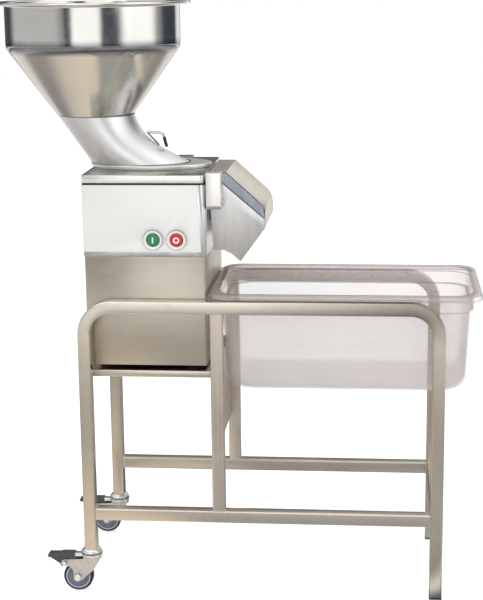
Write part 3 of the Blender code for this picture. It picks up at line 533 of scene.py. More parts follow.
LOOKS = {
    "tube_x": brushed_metal("brushed_tube_lengthways", TUBE_LIGHT, TUBE_DARK, 0.28, "X", 0.6),
    # A darker copy of the lengthways tube: painted shade on the rear lower rail.
    "shaded_rear_tube_x": brushed_metal("rear_rail_steel_shaded", LEG_REAR_SHADED, (0.54, 0.50, 0.44), 0.28, "X", 0.6),
    "tube_y": brushed_metal("brushed_tube_crossways", TUBE_LIGHT, TUBE_DARK, 0.28, "Y", 0.6),
    "tube_z": brushed_metal("brushed_tube_upright", TUBE_LIGHT, TUBE_DARK, 0.28, "Z", 0.6),
    "body": body_sheet(),
    "shelf": brushed_metal("shelf_sheet", TUBE_LIGHT, TUBE_DARK, 0.33, "X", 0.7),
    "panel": painted_panel(),
    "hood": hood_sheet(),
    "lid": lid_alloy(),
    "housing": housing_alloy(),
    # Black rubber finish standing in for the shade in the caster's race gap.
    "race_shade": rubber("race_gap_shade", (0.030, 0.030, 0.032)),
    "bolt": zinc_plate("bolt_plating", (0.80, 0.80, 0.80), (0.98, 0.98, 0.98), 0.16),
    "latch": cast_alloy("pale_cast_alloy", (0.93, 0.92, 0.88), (0.84, 0.83, 0.79), 0.36),
    "inner_cast": cast_alloy("rough_cast_alloy", (0.60, 0.60, 0.58), (0.48, 0.48, 0.46), 0.45, 300.0),
    "zinc": zinc_plate("zinc_plate"),
    "hot_weld": cast_alloy("heat_marked_weld", (0.46, 0.44, 0.43), (0.10, 0.10, 0.12), 0.28, 500.0),
    "weld": cast_alloy("weld_metal", (0.80, 0.79, 0.76), (0.55, 0.53, 0.50), 0.25, 500.0),
    "black": moulded("black_plastic", (0.028, 0.028, 0.032), (0.018, 0.018, 0.022)),
    "pedal": moulded("pedal_plastic", (0.055, 0.058, 0.066), (0.040, 0.042, 0.050), 0.5),
    "wheel": moulded("wheel_plastic", (0.155, 0.180, 0.245), (0.115, 0.135, 0.195), 0.42),
    "wheel_ring": moulded("wheel_ring", (0.50, 0.53, 0.60), (0.42, 0.45, 0.52), 0.45),
    "white": moulded("white_plastic", (0.86, 0.86, 0.84), (0.80, 0.80, 0.78), 0.40),
    "green": moulded("green_button", (0.010, 0.235, 0.085), (0.008, 0.17, 0.065), 0.32, 500.0),
    "red": moulded("red_button", (0.60, 0.018, 0.028), (0.45, 0.012, 0.020), 0.32, 500.0),
    "mark": moulded("button_mark", (0.93, 0.92, 0.90), (0.86, 0.85, 0.83), 0.40),
    "tyre": rubber("tyre_rubber", (0.022, 0.023, 0.027)),
    "foot": rubber("foot_rubber", (0.020, 0.020, 0.021)),
    "belt": rubber("belt_rubber", (0.018, 0.018, 0.018)),
    "clear": clear_plastic(),
}


# --- mesh helpers ---------------------------------------------------------------------------------
SHARP = math.radians(28)
NEARLY_FLAT = math.radians(0.6)


def box(node):
    """The lowest and highest corners of a CAD node."""
    low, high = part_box(node)
    return Vector(low), Vector(high)


def piece(name, mesh, look, body, replaced=None, smooth_angle=35):
    """Turns a bmesh, built in place, into a piece that rides on a body, and may stand for a CAD node."""
    data = bpy.data.meshes.new(name)
    mesh.to_mesh(data)
    mesh.free()
    data.shade_smooth()
    data.set_sharp_from_angle(angle=math.radians(smooth_angle))
    data.materials.append(LOOKS[look])
    made = bpy.data.objects.new(name, data)
    bpy.context.scene.collection.objects.link(made)
    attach(made, body)
    if replaced:
        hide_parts(replaced)


def turned(mesh, profile, centre, axis, segments):
    """Spins (radius, height) points about an axis through the centre into the bmesh."""
    ring = [mesh.verts.new((radius, 0, height)) for radius, height in profile]
    edges = [mesh.edges.new(pair) for pair in zip(ring, ring[1:])]
    if profile[0][0] > 0 and profile[-1][0] > 0:
        edges.append(mesh.edges.new((ring[-1], ring[0])))
    before = set(mesh.verts) - set(ring)
    bmesh.ops.spin(
        mesh,
        geom=ring + edges,
        cent=(0, 0, 0),
        axis=(0, 0, 1),
        angle=math.tau,
        steps=segments,
        use_merge=True,
    )
    made = [vert for vert in mesh.verts if vert not in before]
    bmesh.ops.remove_doubles(mesh, verts=made, dist=1e-6)
    made = [vert for vert in mesh.verts if vert not in before]
    faces = {face for vert in made for face in vert.link_faces}
    bmesh.ops.recalc_face_normals(mesh, faces=list(faces))
    if axis == "Y":
        bmesh.ops.rotate(mesh, cent=(0, 0, 0), matrix=Matrix.Rotation(-math.pi / 2, 3, "X"), verts=made)
    bmesh.ops.translate(mesh, vec=Vector(centre), verts=made)
    return mesh


def rounded(mesh, edges, width, segments):
    """Rounds the given edges."""
    bmesh.ops.bevel(
        mesh,
        geom=edges,
        offset=width,
        segments=segments,
        profile=0.5,
        affect="EDGES",
        material=-1,
        clamp_overlap=True,
    )


def rounded_outline(mesh, corners, radius, segments):
    """Rounds the corners of a flat face."""
    bmesh.ops.bevel(
        mesh, geom=corners, offset=radius, segments=segments, profile=0.5, affect="VERTICES", material=-1
    )


def rounded_box(mesh, low, high, width):
    made = bmesh.ops.create_cube(mesh, size=1)["verts"]
    low, high = Vector(low), Vector(high)
    bmesh.ops.scale(mesh, vec=high - low, verts=made)
    bmesh.ops.translate(mesh, vec=(low + high) / 2, verts=made)
    rounded(mesh, list({edge for vert in made for edge in vert.link_edges}), width, 3)


def softened(node, look, width, segments=2):
    """The CAD node's shape with its sharp edges rounded, standing for that node."""
    mesh = bmesh.new()
    mesh.from_mesh(NODES[node].data)
    bmesh.ops.remove_doubles(mesh, verts=mesh.verts, dist=1e-5)
    bmesh.ops.dissolve_limit(mesh, angle_limit=NEARLY_FLAT, verts=mesh.verts, edges=mesh.edges)
    sharp = [edge for edge in mesh.edges if len(edge.link_faces) == 2 and edge.calc_face_angle() > SHARP]
    rounded(mesh, sharp, width, segments)
    piece(f"{node}_shape", mesh, look, body_of(node), node, smooth_angle=40)


def body_of(node):
    """The body that a CAD node rides on."""
    bodies = frame["record"]["behaviour"]["bodies"]
    return next(body for body, members in bodies.items() if node in members)


def paint(look, *nodes):
    """A CAD node that keeps its own shape gets its finish."""
    for node in nodes:
        mesh = NODES[node].data
        mesh.materials.clear()
        mesh.materials.append(LOOKS[look])


def grown_ring(mesh, verts, edges):
    """Extrudes a ring of edges; each new point is listed in the place of the old one it came from."""
    grown = bmesh.ops.extrude_edge_only(mesh, edges=edges)["geom"]
    fresh = {part for part in grown if isinstance(part, bmesh.types.BMVert)}
    edges = [part for part in grown if isinstance(part, bmesh.types.BMEdge)]
    partners = [
        next(edge.other_vert(vert) for edge in vert.link_edges if edge.other_vert(vert) in fresh)
        for vert in verts
    ]
    return partners, edges


# --- trolley --------------------------------------------------------------------------------------
TUBE_CORNER = 0.0032


def tube_face(mesh, centre, normal, size):
    """A rounded square across the start of a tube, facing back along it."""
    corners = bmesh.ops.create_grid(mesh, x_segments=1, y_segments=1, size=size / 2)["verts"]
    rounded_outline(mesh, corners, TUBE_CORNER, 5)
    turn = Vector((0, 0, 1)).rotation_difference(Vector(normal)).to_matrix()
    bmesh.ops.rotate(mesh, cent=(0, 0, 0), matrix=turn, verts=mesh.verts)
    bmesh.ops.translate(mesh, vec=Vector(centre), verts=mesh.verts)
    return max(mesh.faces, key=lambda face: face.calc_area())


def pushed_on(mesh, face, keep):
    """Extrudes the end face of a tube, keeping the old one as a cap if asked, and gives back the new end."""
    grown = bmesh.ops.extrude_face_region(mesh, geom=[face], use_keep_orig=keep)["geom"]
    return [part for part in grown if isinstance(part, bmesh.types.BMFace)][0]


def drawn_tube(mesh, face, moves):
    """Draws the face through a list of matrices, each carrying the end on from the last place."""
    for number, move in enumerate(moves):
        face = pushed_on(mesh, face, number == 0)
        bmesh.ops.transform(mesh, matrix=move, verts=list(face.verts))
    bmesh.ops.recalc_face_normals(mesh, faces=mesh.faces)


BEND_RADIUS = 0.0555
BEND_STEPS = 20
STEM_COVER = 0.030


def bend_moves(x, y, z):
    """A quarter turn in small steps about an axis along Y through a place."""
    centre = Vector((x, y, z))
    turn = Matrix.Rotation(math.pi / 2 / BEND_STEPS, 4, "Y")
    return [Matrix.Translation(centre) @ turn @ Matrix.Translation(-centre)] * BEND_STEPS


def make_bent_tube(side):
    """One tube up the caster leg, along the rail and down the right leg."""
    node = f"{side}_bent_tube"
    low, high = box(node)
    size = high.y - low.y
    y = (low.y + high.y) / 2
    left, right = low.x + size / 2, high.x - size / 2
    bend_height = high.z - size / 2 - BEND_RADIUS
    left_foot = box(f"{side}_caster_stem")[1].z - STEM_COVER
    mesh = bmesh.new()
    face = tube_face(mesh, (left, y, left_foot), (0, 0, 1), size)
    moves = [Matrix.Translation((0, 0, bend_height - left_foot))]
    moves += bend_moves(left + BEND_RADIUS, y, bend_height)
    moves += [Matrix.Translation((right - left - 2 * BEND_RADIUS, 0, 0))]
    moves += bend_moves(right - BEND_RADIUS, y, bend_height)
    moves += [Matrix.Translation((0, 0, low.z - bend_height))]
    drawn_tube(mesh, face, moves)
    piece(f"{side}_tube", mesh, f"{side}_tube", "trolley", node)


def make_straight_tubes():
    for side, rail_look in (("front", "tube_x"), ("rear", "shaded_rear_tube_x")):
        make_straight_tube(f"{side}_lower_rail", 0, rail_look)
        make_straight_tube(f"{side}_middle_post", 2, "tube_z")
    make_straight_tube("right_cross_tube", 1, "tube_y")


def make_straight_tube(node, axis, look):
    low, high = box(node)
    centre = (low + high) / 2
    start, end = centre.copy(), centre.copy()
    start[axis], end[axis] = low[axis], high[axis]
    mesh = bmesh.new()
    face = tube_face(mesh, start, (end - start).normalized(), min(high - low))
    drawn_tube(mesh, face, [Matrix.Translation(end - start)])
    piece(f"{node}_tube", mesh, look, "trolley", node)


WELD_RADIUS = 0.0013
WELD_LUMPS = 9


def weld_bead(curve, corners):
    """One bead round a joint, as a closed run with a small rise for each ripple."""
    points = []
    count = len(corners)
    for i, corner in enumerate(corners):
        following = corners[(i + 1) % count]
        for step in range(WELD_LUMPS):
            for part, swell in ((0.0, 1.0), (0.35, 1.16), (0.65, 1.10), (0.9, 0.92)):
                points.append((corner.lerp(following, (step + part) / WELD_LUMPS), swell))
    path = curve.splines.new("POLY")
    path.points.add(len(points) - 1)
    path.use_cyclic_u = True
    for point, (place, swell) in zip(path.points, points):
        point.co = (*place, 1)
        point.radius = swell


def joint_corners(low, high, axis, at):
    """The four corners of a tube's outline where it meets another at a place along its axis."""
    inset = TUBE_CORNER * 0.35
    first, second = (i for i in range(3) if i != axis)
    corners = []
    for a, b in ((0, 0), (1, 0), (1, 1), (0, 1)):
        corner = Vector((0, 0, 0))
        corner[axis] = at
        corner[first] = high[first] - inset if a else low[first] + inset
        corner[second] = high[second] - inset if b else low[second] + inset
        corners.append(corner)
    return corners


def make_welds():
    """Beads where the posts and rails meet the tubes they are welded to."""
    curve = round_wire("trolley_welds", WELD_RADIUS)
    joints = [("right_cross_tube", 1)]
    for side in ("front", "rear"):
        joints += [(f"{side}_lower_rail", 0), (f"{side}_middle_post", 2)]
    for node, axis in joints:
        low, high = box(node)
        for at in (low[axis], high[axis]):
            weld_bead(curve, joint_corners(low, high, axis, at))
    curve_piece("trolley_welds", curve, "weld", "trolley")


def round_wire(name, radius, resolution=2):
    """An empty curve with a round section."""
    curve = bpy.data.curves.new(name, "CURVE")
    curve.dimensions = "3D"
    curve.bevel_depth = radius
    curve.bevel_resolution = resolution
    return curve


def curve_piece(name, curve, look, body):
    """A curve turned into a mesh piece that rides on a body."""
    curve.materials.append(LOOKS[look])
    shape = bpy.data.objects.new(name + "_path", curve)
    bpy.context.scene.collection.objects.link(shape)
    bpy.context.view_layer.update()
    data = bpy.data.meshes.new_from_object(shape)
    bpy.data.objects.remove(shape)
    mesh = bmesh.new()
    mesh.from_mesh(data)
    bmesh.ops.remove_doubles(mesh, verts=mesh.verts, dist=1e-6)
    bmesh.ops.recalc_face_normals(mesh, faces=mesh.faces)
    piece(name, mesh, look, body, smooth_angle=60)


# --- feed head ------------------------------------------------------------------------------------
def arc(centre, radius, start, end, steps):
    """Points of an arc, in degrees, as (radius, height) pairs."""
    points = []
    for step in range(steps + 1):
        angle = math.radians(start + (end - start) * step / steps)
        points.append((centre[0] + radius * math.cos(angle), centre[1] + radius * math.sin(angle)))
    return points


WALL = 0.002
DRUM_RADIUS = 0.1728
KNUCKLE_RADIUS = 0.032
NECK_MOUTH = 0.076


def make_hopper():
    """Outside from the neck up round the rolled rim, then back down the inside."""
    low, high = box("feed_hopper")
    centre = ((low.x + high.x) / 2, (low.y + high.y) / 2, 0)
    rim, top, foot = (high.x - low.x) / 2, high.z, low.z
    bend = (DRUM_RADIUS - KNUCKLE_RADIUS, HOPPER_KNEE)
    across, up = NECK_MOUTH - bend[0], foot - HOPPER_KNEE
    slope = -math.degrees(math.atan2(up, across) + math.acos(KNUCKLE_RADIUS / math.hypot(across, up)))
    outer = [(NECK_MOUTH, foot)]
    outer += arc(bend, KNUCKLE_RADIUS, -slope, 0, 18)
    outer += [(DRUM_RADIUS, top - 0.010)]
    outer += arc((DRUM_RADIUS + 0.003, top - 0.0095), 0.003, 180, 90, 5)
    outer += arc((rim - 0.0032, top - 0.0033), 0.0032, -80, 100, 12)
    outer += arc((DRUM_RADIUS + 0.004, top - 0.0062), 0.006, 90, 172, 8)
    inner = arc(bend, KNUCKLE_RADIUS - WALL, 0, -slope, 18)
    inner += [(NECK_MOUTH - WALL, foot)]
    mesh = turned(bmesh.new(), outer + inner, centre, "Z", 144)
    piece("hopper_bowl", mesh, "polish", "feed_head", "feed_hopper", smooth_angle=30)


def oval_stack(rings):
    """A closed skin through ovals of (centre along X, half length, half width, height)."""
    mesh = bmesh.new()
    unit = bmesh.ops.create_circle(mesh, cap_ends=False, segments=96, radius=1)["verts"]
    directions = [vert.co.copy() for vert in unit]
    edges = list({edge for vert in unit for edge in vert.link_edges})
    first = edges

    def place(verts, ring):
        centre_x, half_length, half_width, z = ring
        for vert, direction in zip(verts, directions):
            vert.co = (centre_x + direction.x * half_length, direction.y * half_width, z)

    place(unit, rings[0])
    current = unit
    for ring in rings[1:]:
        current, edges = grown_ring(mesh, current, edges)
        place(current, ring)
    bmesh.ops.bridge_loops(mesh, edges=edges + first)
    bmesh.ops.recalc_face_normals(mesh, faces=mesh.faces)
    return mesh


def neck_oval(drop):
    """The neck's outline part of the way down: centre along X, half length, half width, height."""
    low, high = box("feed_neck")
    left = low.x + 0.065 * drop
    right = low.x + 2 * NECK_MOUTH + 0.030 * drop + 0.081 * drop**2.5
    z = high.z + (low.z - high.z) * drop
    return (left + right) / 2, (right - left) / 2, NECK_MOUTH - 0.008 * drop, z


def swollen(oval, swell, rise=0.0):
    """The same oval made larger all round and moved up."""
    middle, half, width, z = oval
    return middle, half + swell, width + swell, z + rise


def make_neck():
    """Leaning neck that widens to its foot, and the flat flange that it's welded to."""
    steps = 24
    outside = [neck_oval(step / steps) for step in range(steps + 1)]
    inside = [swollen(oval, -WALL) for oval in outside]
    piece("neck_tube", oval_stack(outside + inside[::-1]), "polish_neck", "feed_head", "feed_neck")

    low, high = box("neck_flange")
    soft = 0.0022
    edge = ((low.x + high.x) / 2, (high.x - low.x) / 2, (high.y - low.y) / 2, low.z)
    shoulder = high.z - low.z - soft
    rings = [swollen(edge, -0.0005), swollen(edge, 0, 0.0008), swollen(edge, 0, shoulder)]
    for step in range(1, 6):
        angle = step / 5 * math.pi / 2
        rings.append(swollen(edge, -soft * (1 - math.cos(angle)), shoulder + soft * math.sin(angle)))
    hole = swollen(inside[-1], 0.0003)
    rings += [(*hole[:3], high.z), (*hole[:3], low.z)]
    piece("neck_flange_ring", oval_stack(rings), "polish_neck", "feed_head", "neck_flange")


def ring_weld(name, oval, radius, ripples):
    """A rippled bead along an oval."""
    curve = round_wire(name, radius)
    centre_x, half_length, half_width, z = oval
    path = curve.splines.new("POLY")
    count = ripples * 3
    path.points.add(count - 1)
    path.use_cyclic_u = True
    for i, point in enumerate(path.points):
        angle = math.tau * i / count
        x = centre_x + half_length * math.cos(angle)
        y = half_width * math.sin(angle)
        point.co = (x, y, z, 1)
        point.radius = (1.0, 1.18, 0.94)[i % 3] + 0.08 * math.sin(7 * angle)
    curve_piece(name, curve, "hot_weld", "feed_head")


def make_head_welds():
    ring_weld("hopper_weld", swollen(neck_oval(0), 0, 0.0002), 0.0011, 150)
    ring_weld("flange_weld", swollen(neck_oval(1), 0.0004, 0.0002), 0.0012, 200)


GRIP_RIBS = 7
GRIP_HALF = 0.0105


def make_handle():
    """Thin brace under the handle rod, and the ribbed grip on its end."""
    low, high = box("head_handle_rod")
    curve = round_wire("handle_brace", 0.0017, 3)
    curve.use_fill_caps = True
    path = curve.splines.new("POLY")
    path.points.add(1)
    path.points[0].co = (low.x + 0.0015, 0, high.z - 0.003, 1)
    path.points[1].co = (low.x + 0.0255, 0, high.z - 0.0285, 1)
    curve_piece("handle_brace", curve, "dark_steel", "feed_head")
    low, high = box("head_handle_grip")
    profile = [(0.0, -GRIP_HALF), (0.0026, -GRIP_HALF)]
    for rib in range(GRIP_RIBS):
        start = -GRIP_HALF + 0.0006 + rib * (2 * GRIP_HALF - 0.0012) / GRIP_RIBS
        profile += [(0.0034, start), (0.0034, start + 0.0018), (0.0029, start + 0.0021)]
    profile += [(0.0026, GRIP_HALF), (0.0, GRIP_HALF)]
    mesh = turned(bmesh.new(), profile, (0, 0, 0), "Z", 28)
    lean = math.atan2(0.0075, 0.0285)
    bmesh.ops.rotate(mesh, cent=(0, 0, 0), matrix=Matrix.Rotation(-lean, 3, "Y"), verts=mesh.verts)
    bmesh.ops.translate(mesh, vec=(low + high) / 2, verts=mesh.verts)
    piece("handle_grip", mesh, "black", "feed_head", "head_handle_grip")


# --- tray -----------------------------------------------------------------------------------------
TRAY_CORNER = 0.038


def make_tray():
    """Clear tray: rolled rim, stacking step, tapered walls and a round-edged floor."""
    low, high = box("clear_tray")
    centre = (low + high) / 2
    half = (high - low).xy / 2
    floor, top = low.z, high.z
    rim = top - 0.011
    step = top - 0.036
    wall = 0.003
    mesh = bmesh.new()
    made = bmesh.ops.create_grid(mesh, x_segments=1, y_segments=1, size=0.5)["verts"]
    bmesh.ops.scale(mesh, vec=(2 * half.x, 2 * half.y, 1), verts=made)
    rounded_outline(mesh, made, TRAY_CORNER, 12)
    start = list(mesh.verts)
    outline = [vert.co.xy for vert in start]
    face = mesh.faces[:][0]
    edges = list(face.edges)
    bmesh.ops.delete(mesh, geom=[face], context="FACES_ONLY")

    def place(verts, ring):
        """Moves the rim's points to the same places on a smaller rounded outline."""
        inset, z, radius = ring
        for vert, point in zip(verts, outline):
            sign = Vector((math.copysign(1, point.x), math.copysign(1, point.y)))
            direction = (point - sign * (half - Vector((TRAY_CORNER, TRAY_CORNER)))) / TRAY_CORNER
            target = sign * (half - Vector((inset + radius, inset + radius)))
            vert.co = (*(centre.xy + target + direction * radius), z)

    rings = [(0.150, floor + wall, 0.006), (0.060, floor + wall, 0.030)]
    for part in range(1, 9):
        angle = part / 8 * math.pi / 2
        inset = 0.0332 + 0.028 * (1 - math.sin(angle)) - 0.0002 * part
        rings.append((inset, floor + wall + 0.028 * (1 - math.cos(angle)), 0.030 + 0.017 * math.sin(angle)))
    rings += [(0.0215 + wall, step - 0.004, 0.050), (0.0205 + wall, step - 0.0015, 0.050)]
    rings += [(0.0155 + wall, step + 0.0010, 0.049), (0.0150 + wall, step + 0.0035, 0.049)]
    rings += [(0.0145 + wall, top - 0.0035, 0.045), (0.0140 + wall, top - 0.0012, 0.045)]
    rings += [(0.0125 + wall, top - 0.0002, 0.043), (0.0105, top, 0.041)]
    rings += [(0.0030, top, 0.036), (0.0010, top - 0.0008, 0.037), (0.0, top - 0.0028, 0.038)]
    rings += [(0.0, rim + 0.0006, 0.038), (0.0008, rim, 0.037), (0.0022, rim, 0.036)]
    rings += [(0.0028, rim + 0.0006, 0.035), (0.0030, top - wall - 0.001, 0.035)]
    rings += [(0.0040, top - wall, 0.034), (0.0140, top - wall, 0.041), (0.0150, top - wall - 0.001, 0.042)]
    rings += [(0.0152, step + 0.0025, 0.046), (0.0158, step + 0.0005, 0.046)]
    rings += [(0.0205, step - 0.0030, 0.047), (0.0214, step - 0.0060, 0.047)]
    for part in range(8, 0, -1):
        angle = part / 8 * math.pi / 2
        inset = 0.0302 + 0.030 * (1 - math.sin(angle)) - 0.0002 * part
        rings.append((inset, floor + 0.030 * (1 - math.cos(angle)), 0.030 + 0.015 * math.sin(angle)))
    rings += [(0.062, floor, 0.028), (0.150, floor, 0.006)]

    place(start, rings[0])
    current = start
    for ring in rings[1:]:
        current, edges = grown_ring(mesh, current, edges)
        place(current, ring)
    bmesh.ops.holes_fill(mesh, edges=mesh.edges, sides=0)
    bmesh.ops.recalc_face_normals(mesh, faces=mesh.faces)
    piece("food_tray", mesh, "clear", "tray", "clear_tray", smooth_angle=50)


# --- casters --------------------------------------------------------------------------------------
def mirrored(profile):
    """A profile from the front face, carried on to its mirror image at the back face."""
    return profile + [(radius, -height) for radius, height in profile[::-1]]


def make_wheel(side):
    """Round-edged tyre, dished disc and the pale band between them."""
    low, high = box(f"{side}_tyre")
    centre = (low + high) / 2
    radius, half = (high.z - low.z) / 2, (high.y - low.y) / 2
    tread = [(0.0250, -half), (0.0262, -half)]
    tread += arc((radius - 0.0042, -half + 0.0042), 0.0042, -90, -5, 7)
    mesh = turned(bmesh.new(), mirrored(tread), centre, "Y", 72)
    piece(f"{side}_wheel_tyre", mesh, "tyre", f"{side}_wheel", f"{side}_tyre")

    low, high = box(f"{side}_wheel_hub")
    hub = (high.y - low.y) / 2
    face = [(0.0045, -hub), (0.0080, -hub), (0.0092, -hub + 0.001), (0.0098, -0.0080)]
    face += [(0.0110, -0.0068), (0.0190, -0.0064), (0.0206, -0.0074), (0.0212, -0.0088)]
    face += [(0.0218, -0.0092), (0.0224, -0.0092)]
    mesh = turned(bmesh.new(), mirrored(face), centre, "Y", 72)
    piece(f"{side}_wheel_disc", mesh, "wheel", f"{side}_wheel", f"{side}_wheel_hub")
    band = [(0.0225, -0.0093), (0.0230, -0.0097), (0.0242, -0.0097), (0.0248, -0.0093)]
    mesh = turned(bmesh.new(), mirrored(band), centre, "Y", 72)
    piece(f"{side}_wheel_band", mesh, "wheel_ring", f"{side}_wheel")


# Each ring of the ball race: its radius, its depth below the fork's top and its thickness.
RACE_CUPS = ((0.0192, 0.0012, 0.0016), (0.0198, 0.0090, 0.0013), (0.0166, -0.0030, 0.0011))
# A black ring in the race gap, standing for the shade between the cups.
RACE_GAP = ((0.0196, 0.0050, 0.0010),)
BOLT_RADIUS = 0.0058
RIVET_RADIUS = 0.0042
RIVET_OFFSET = -0.054
RIVET_HEIGHT = 0.061


def make_caster(side):
    """Pressed fork with its ball race, bolts and rivets, and the arm that holds the brake pedal."""
    softened(f"{side}_caster_fork", "zinc", 0.0008)
    softened(f"{side}_caster_stem", "bolt", 0.0005)
    softened(f"{side}_caster_axle", "bolt", 0.0004)
    softened(f"{side}_brake_pedal", "pedal", 0.0010, segments=3)
    make_wheel(side)
    fork_high = box(f"{side}_caster_fork")[1]
    centre = sum(box(f"{side}_caster_stem"), Vector()) / 2
    wheel = sum(box(f"{side}_wheel_hub"), Vector()) / 2
    body = f"{side}_caster"
    cup = fork_high.z
    for name, rings, look in (("ball_race", RACE_CUPS, "bolt"), ("race_gap", RACE_GAP, "race_shade")):
        mesh = bmesh.new()
        for radius, depth, thick in rings:
            lip = arc((radius, cup - depth), thick, 0, 345, 14)
            turned(mesh, lip, (centre.x, centre.y, 0), "Z", 56)
        piece(f"{side}_{name}", mesh, look, body)
    heads = ((wheel.x, wheel.z, BOLT_RADIUS), (centre.x + RIVET_OFFSET, RIVET_HEIGHT, RIVET_RADIUS))
    mesh = bmesh.new()
    for sign in (-1, 1):
        y = centre.y + sign * (fork_high.y - centre.y)
        for x, z, radius in heads:
            head = [(0.0, 0.0), (radius, 0.0), (radius, 0.0007), (radius * 0.93, 0.0010)]
            head += [(radius * 0.60, 0.0010), (radius * 0.55, 0.0024), (0.0, 0.0026)]
            turned(mesh, [(r, sign * h) for r, h in head], (x, y, z), "Y", 30)
    piece(f"{side}_caster_rivets", mesh, "bolt", body)
    pedal_end = box(f"{side}_brake_pedal")[1].x
    mesh = bmesh.new()
    arm_low = (pedal_end - 0.0030, centre.y - 0.0080, cup - 0.0135)
    arm_high = (centre.x - 0.0185, centre.y + 0.0080, cup - 0.0070)
    rounded_box(mesh, arm_low, arm_high, 0.0008)
    piece(f"{side}_brake_arm", mesh, "bolt", body)


# --- machine --------------------------------------------------------------------------------------
def make_buttons():
    """The ring round each button, its stepped cap, and a bar or a circle on the cap."""
    for kind, look in (("start", "green"), ("stop", "red")):
        low, high = box(f"{kind}_bezel")
        centre = (low + high) / 2
        deep = high.y - low.y
        ring = [(0.0131, 0.0), (0.0131, deep * 0.55), (0.0150, deep * 0.62)]
        ring += [(0.0165, deep * 0.80), (0.0172, deep * 0.97), (0.0178, deep)]
        ring += [(0.0186, deep), (0.0192, deep * 0.85), (0.0193, 0.0)]
        place = (centre.x, high.y, centre.z)
        mesh = turned(bmesh.new(), [(r, -h) for r, h in ring], place, "Y", 80)
        piece(f"{kind}_ring", mesh, f"{kind}_bezel", "trolley", f"{kind}_bezel")

        low, high = box(f"{kind}_button")
        centre = (low + high) / 2
        front, deep = low.y, high.y - low.y
        cap = [(0.0, 0.0), (0.0100, 0.0)]
        cap += arc((0.0100, 0.0018), 0.0018, -90, -10, 5)
        cap += [(0.0122, 0.0040), (0.0122, 0.0080), (0.0050, 0.0080), (0.0050, deep), (0.0, deep)]
        mesh = turned(bmesh.new(), cap, (centre.x, front, centre.z), "Y", 64)
        piece(f"{kind}_cap", mesh, look, f"{kind}_push", f"{kind}_button")
        mesh = bmesh.new()
        if kind == "start":
            half = Vector((0.0013, 0, 0.0058))
            face = Vector((centre.x, front, centre.z))
            proud, sunk = Vector((0, -0.0003, 0)), Vector((0, 0.0004, 0))
            rounded_box(mesh, face - half + proud, face + half + sunk, 0.0003)
        else:
            circle = [(0.0034, 0.0004), (0.0034, -0.0003), (0.0060, -0.0003), (0.0060, 0.0004)]
            turned(mesh, circle, (centre.x, front, centre.z), "Y", 48)
        piece(f"{kind}_mark", mesh, "mark", f"{kind}_push")


def make_screws(name, places, radius):
    """Pan-head screws with a raised cross, one at each place on a rear face."""
    mesh = bmesh.new()
    for place in places:
        single = bmesh.new()
        head = [(0.0, 0.0022), (radius * 0.5, 0.0020), (radius * 0.85, 0.0013), (radius, 0.0004)]
        head += [(radius, -0.0006), (0.0, -0.0006)]
        turned(single, head, (0, 0, 0), "Z", 20)
        for turn in (0.4, 0.4 + math.pi / 2):
            bar = bmesh.ops.create_cube(single, size=1)["verts"]
            bmesh.ops.scale(single, vec=(radius * 1.1, 0.0008, 0.0006), verts=bar)
            bmesh.ops.translate(single, vec=(0, 0, 0.0021), verts=bar)
            bmesh.ops.rotate(single, cent=(0, 0, 0), matrix=Matrix.Rotation(turn, 3, "Z"), verts=bar)
        facing = Vector((0, 0, 1)).rotation_difference(Vector((0, 1, 0))).to_matrix().to_4x4()
        bmesh.ops.transform(single, matrix=Matrix.Translation(place) @ facing, verts=single.verts)
        data = bpy.data.meshes.new("screw")
        single.to_mesh(data)
        single.free()
        mesh.from_mesh(data)
        bpy.data.meshes.remove(data)
    piece(name, mesh, "zinc", "trolley")


def make_all_screws():
    """Screws at the corners of the base's rear face and on the hinge bracket."""
    low, high = box("motor_base_shell")
    inset = 0.014
    corners = [(x, z) for x in (low.x + inset, high.x - inset) for z in (low.z + inset, high.z - inset)]
    make_screws("rear_panel_screws", [(x, high.y, z) for x, z in corners], 0.0042)
    low, high = box("hinge_bracket")
    inset = 0.010
    middle = (low.z + high.z) / 2
    sides = (low.x + inset, high.x - inset)
    make_screws("hinge_screws", [(x, high.y, middle) for x in sides], 0.0034)


# Each part that keeps the frame's shape: its finish, the width of its rounded edges, and their segments.
SOFTENED = (
    ("motor_base_shell", "body", 0.0010),
    ("bowl_housing", "housing", 0.0008),
    ("lid_plate", "lid", 0.0010),
    ("control_panel", "panel", 0.0003),
    ("discharge_hood", "hood", 0.0005),
    ("latch_lever", "latch", 0.0012, 3),
    ("support_shelf", "shelf", 0.0005),
    ("hinge_bracket", "body", 0.0006),
    ("hinge_leaf", "body", 0.0006),
    ("base_plate", "body", 0.0004),
    ("middle_stiffener_panel", "tube_x", 0.0004),
    ("slicing_disc", "blade", 0.0003),
    ("ejector_plate", "white", 0.0006),
)


def make_machine():
    for part in SOFTENED:
        softened(*part)


# --- the rest of the finishes, which need places from the frame -----------------------------------
def more_looks():
    rail_top = box("front_bent_tube")[1].z
    LOOKS["front_tube"] = bent_tube_metal("front_bent_tube_steel", rail_top, RAIL_FRONT_LIT, LEG_FRONT_SHADED, 0.85)
    LOOKS["rear_tube"] = bent_tube_metal("rear_bent_tube_steel", rail_top, RAIL_REAR_LIT, LEG_REAR_SHADED, 0.0)
    for node in ("start_bezel", "stop_bezel"):
        LOOKS[node] = satin_ring(node)
    LOOKS["polish"] = hopper_metal()
    LOOKS["polish_neck"] = spun_metal("satin_neck", (0.88, 0.88, 0.89), (0.74, 0.735, 0.74), 0.40)
    LOOKS["handle_steel"] = spun_metal("handle_steel", POLISH_LIGHT, POLISH_DARK, 0.2)
    LOOKS["dark_steel"] = spun_metal("dark_steel", (0.22, 0.23, 0.27), (0.10, 0.11, 0.14), 0.3)
    LOOKS["blade"] = spun_metal("blade_steel", POLISH_LIGHT, POLISH_DARK, 0.18)


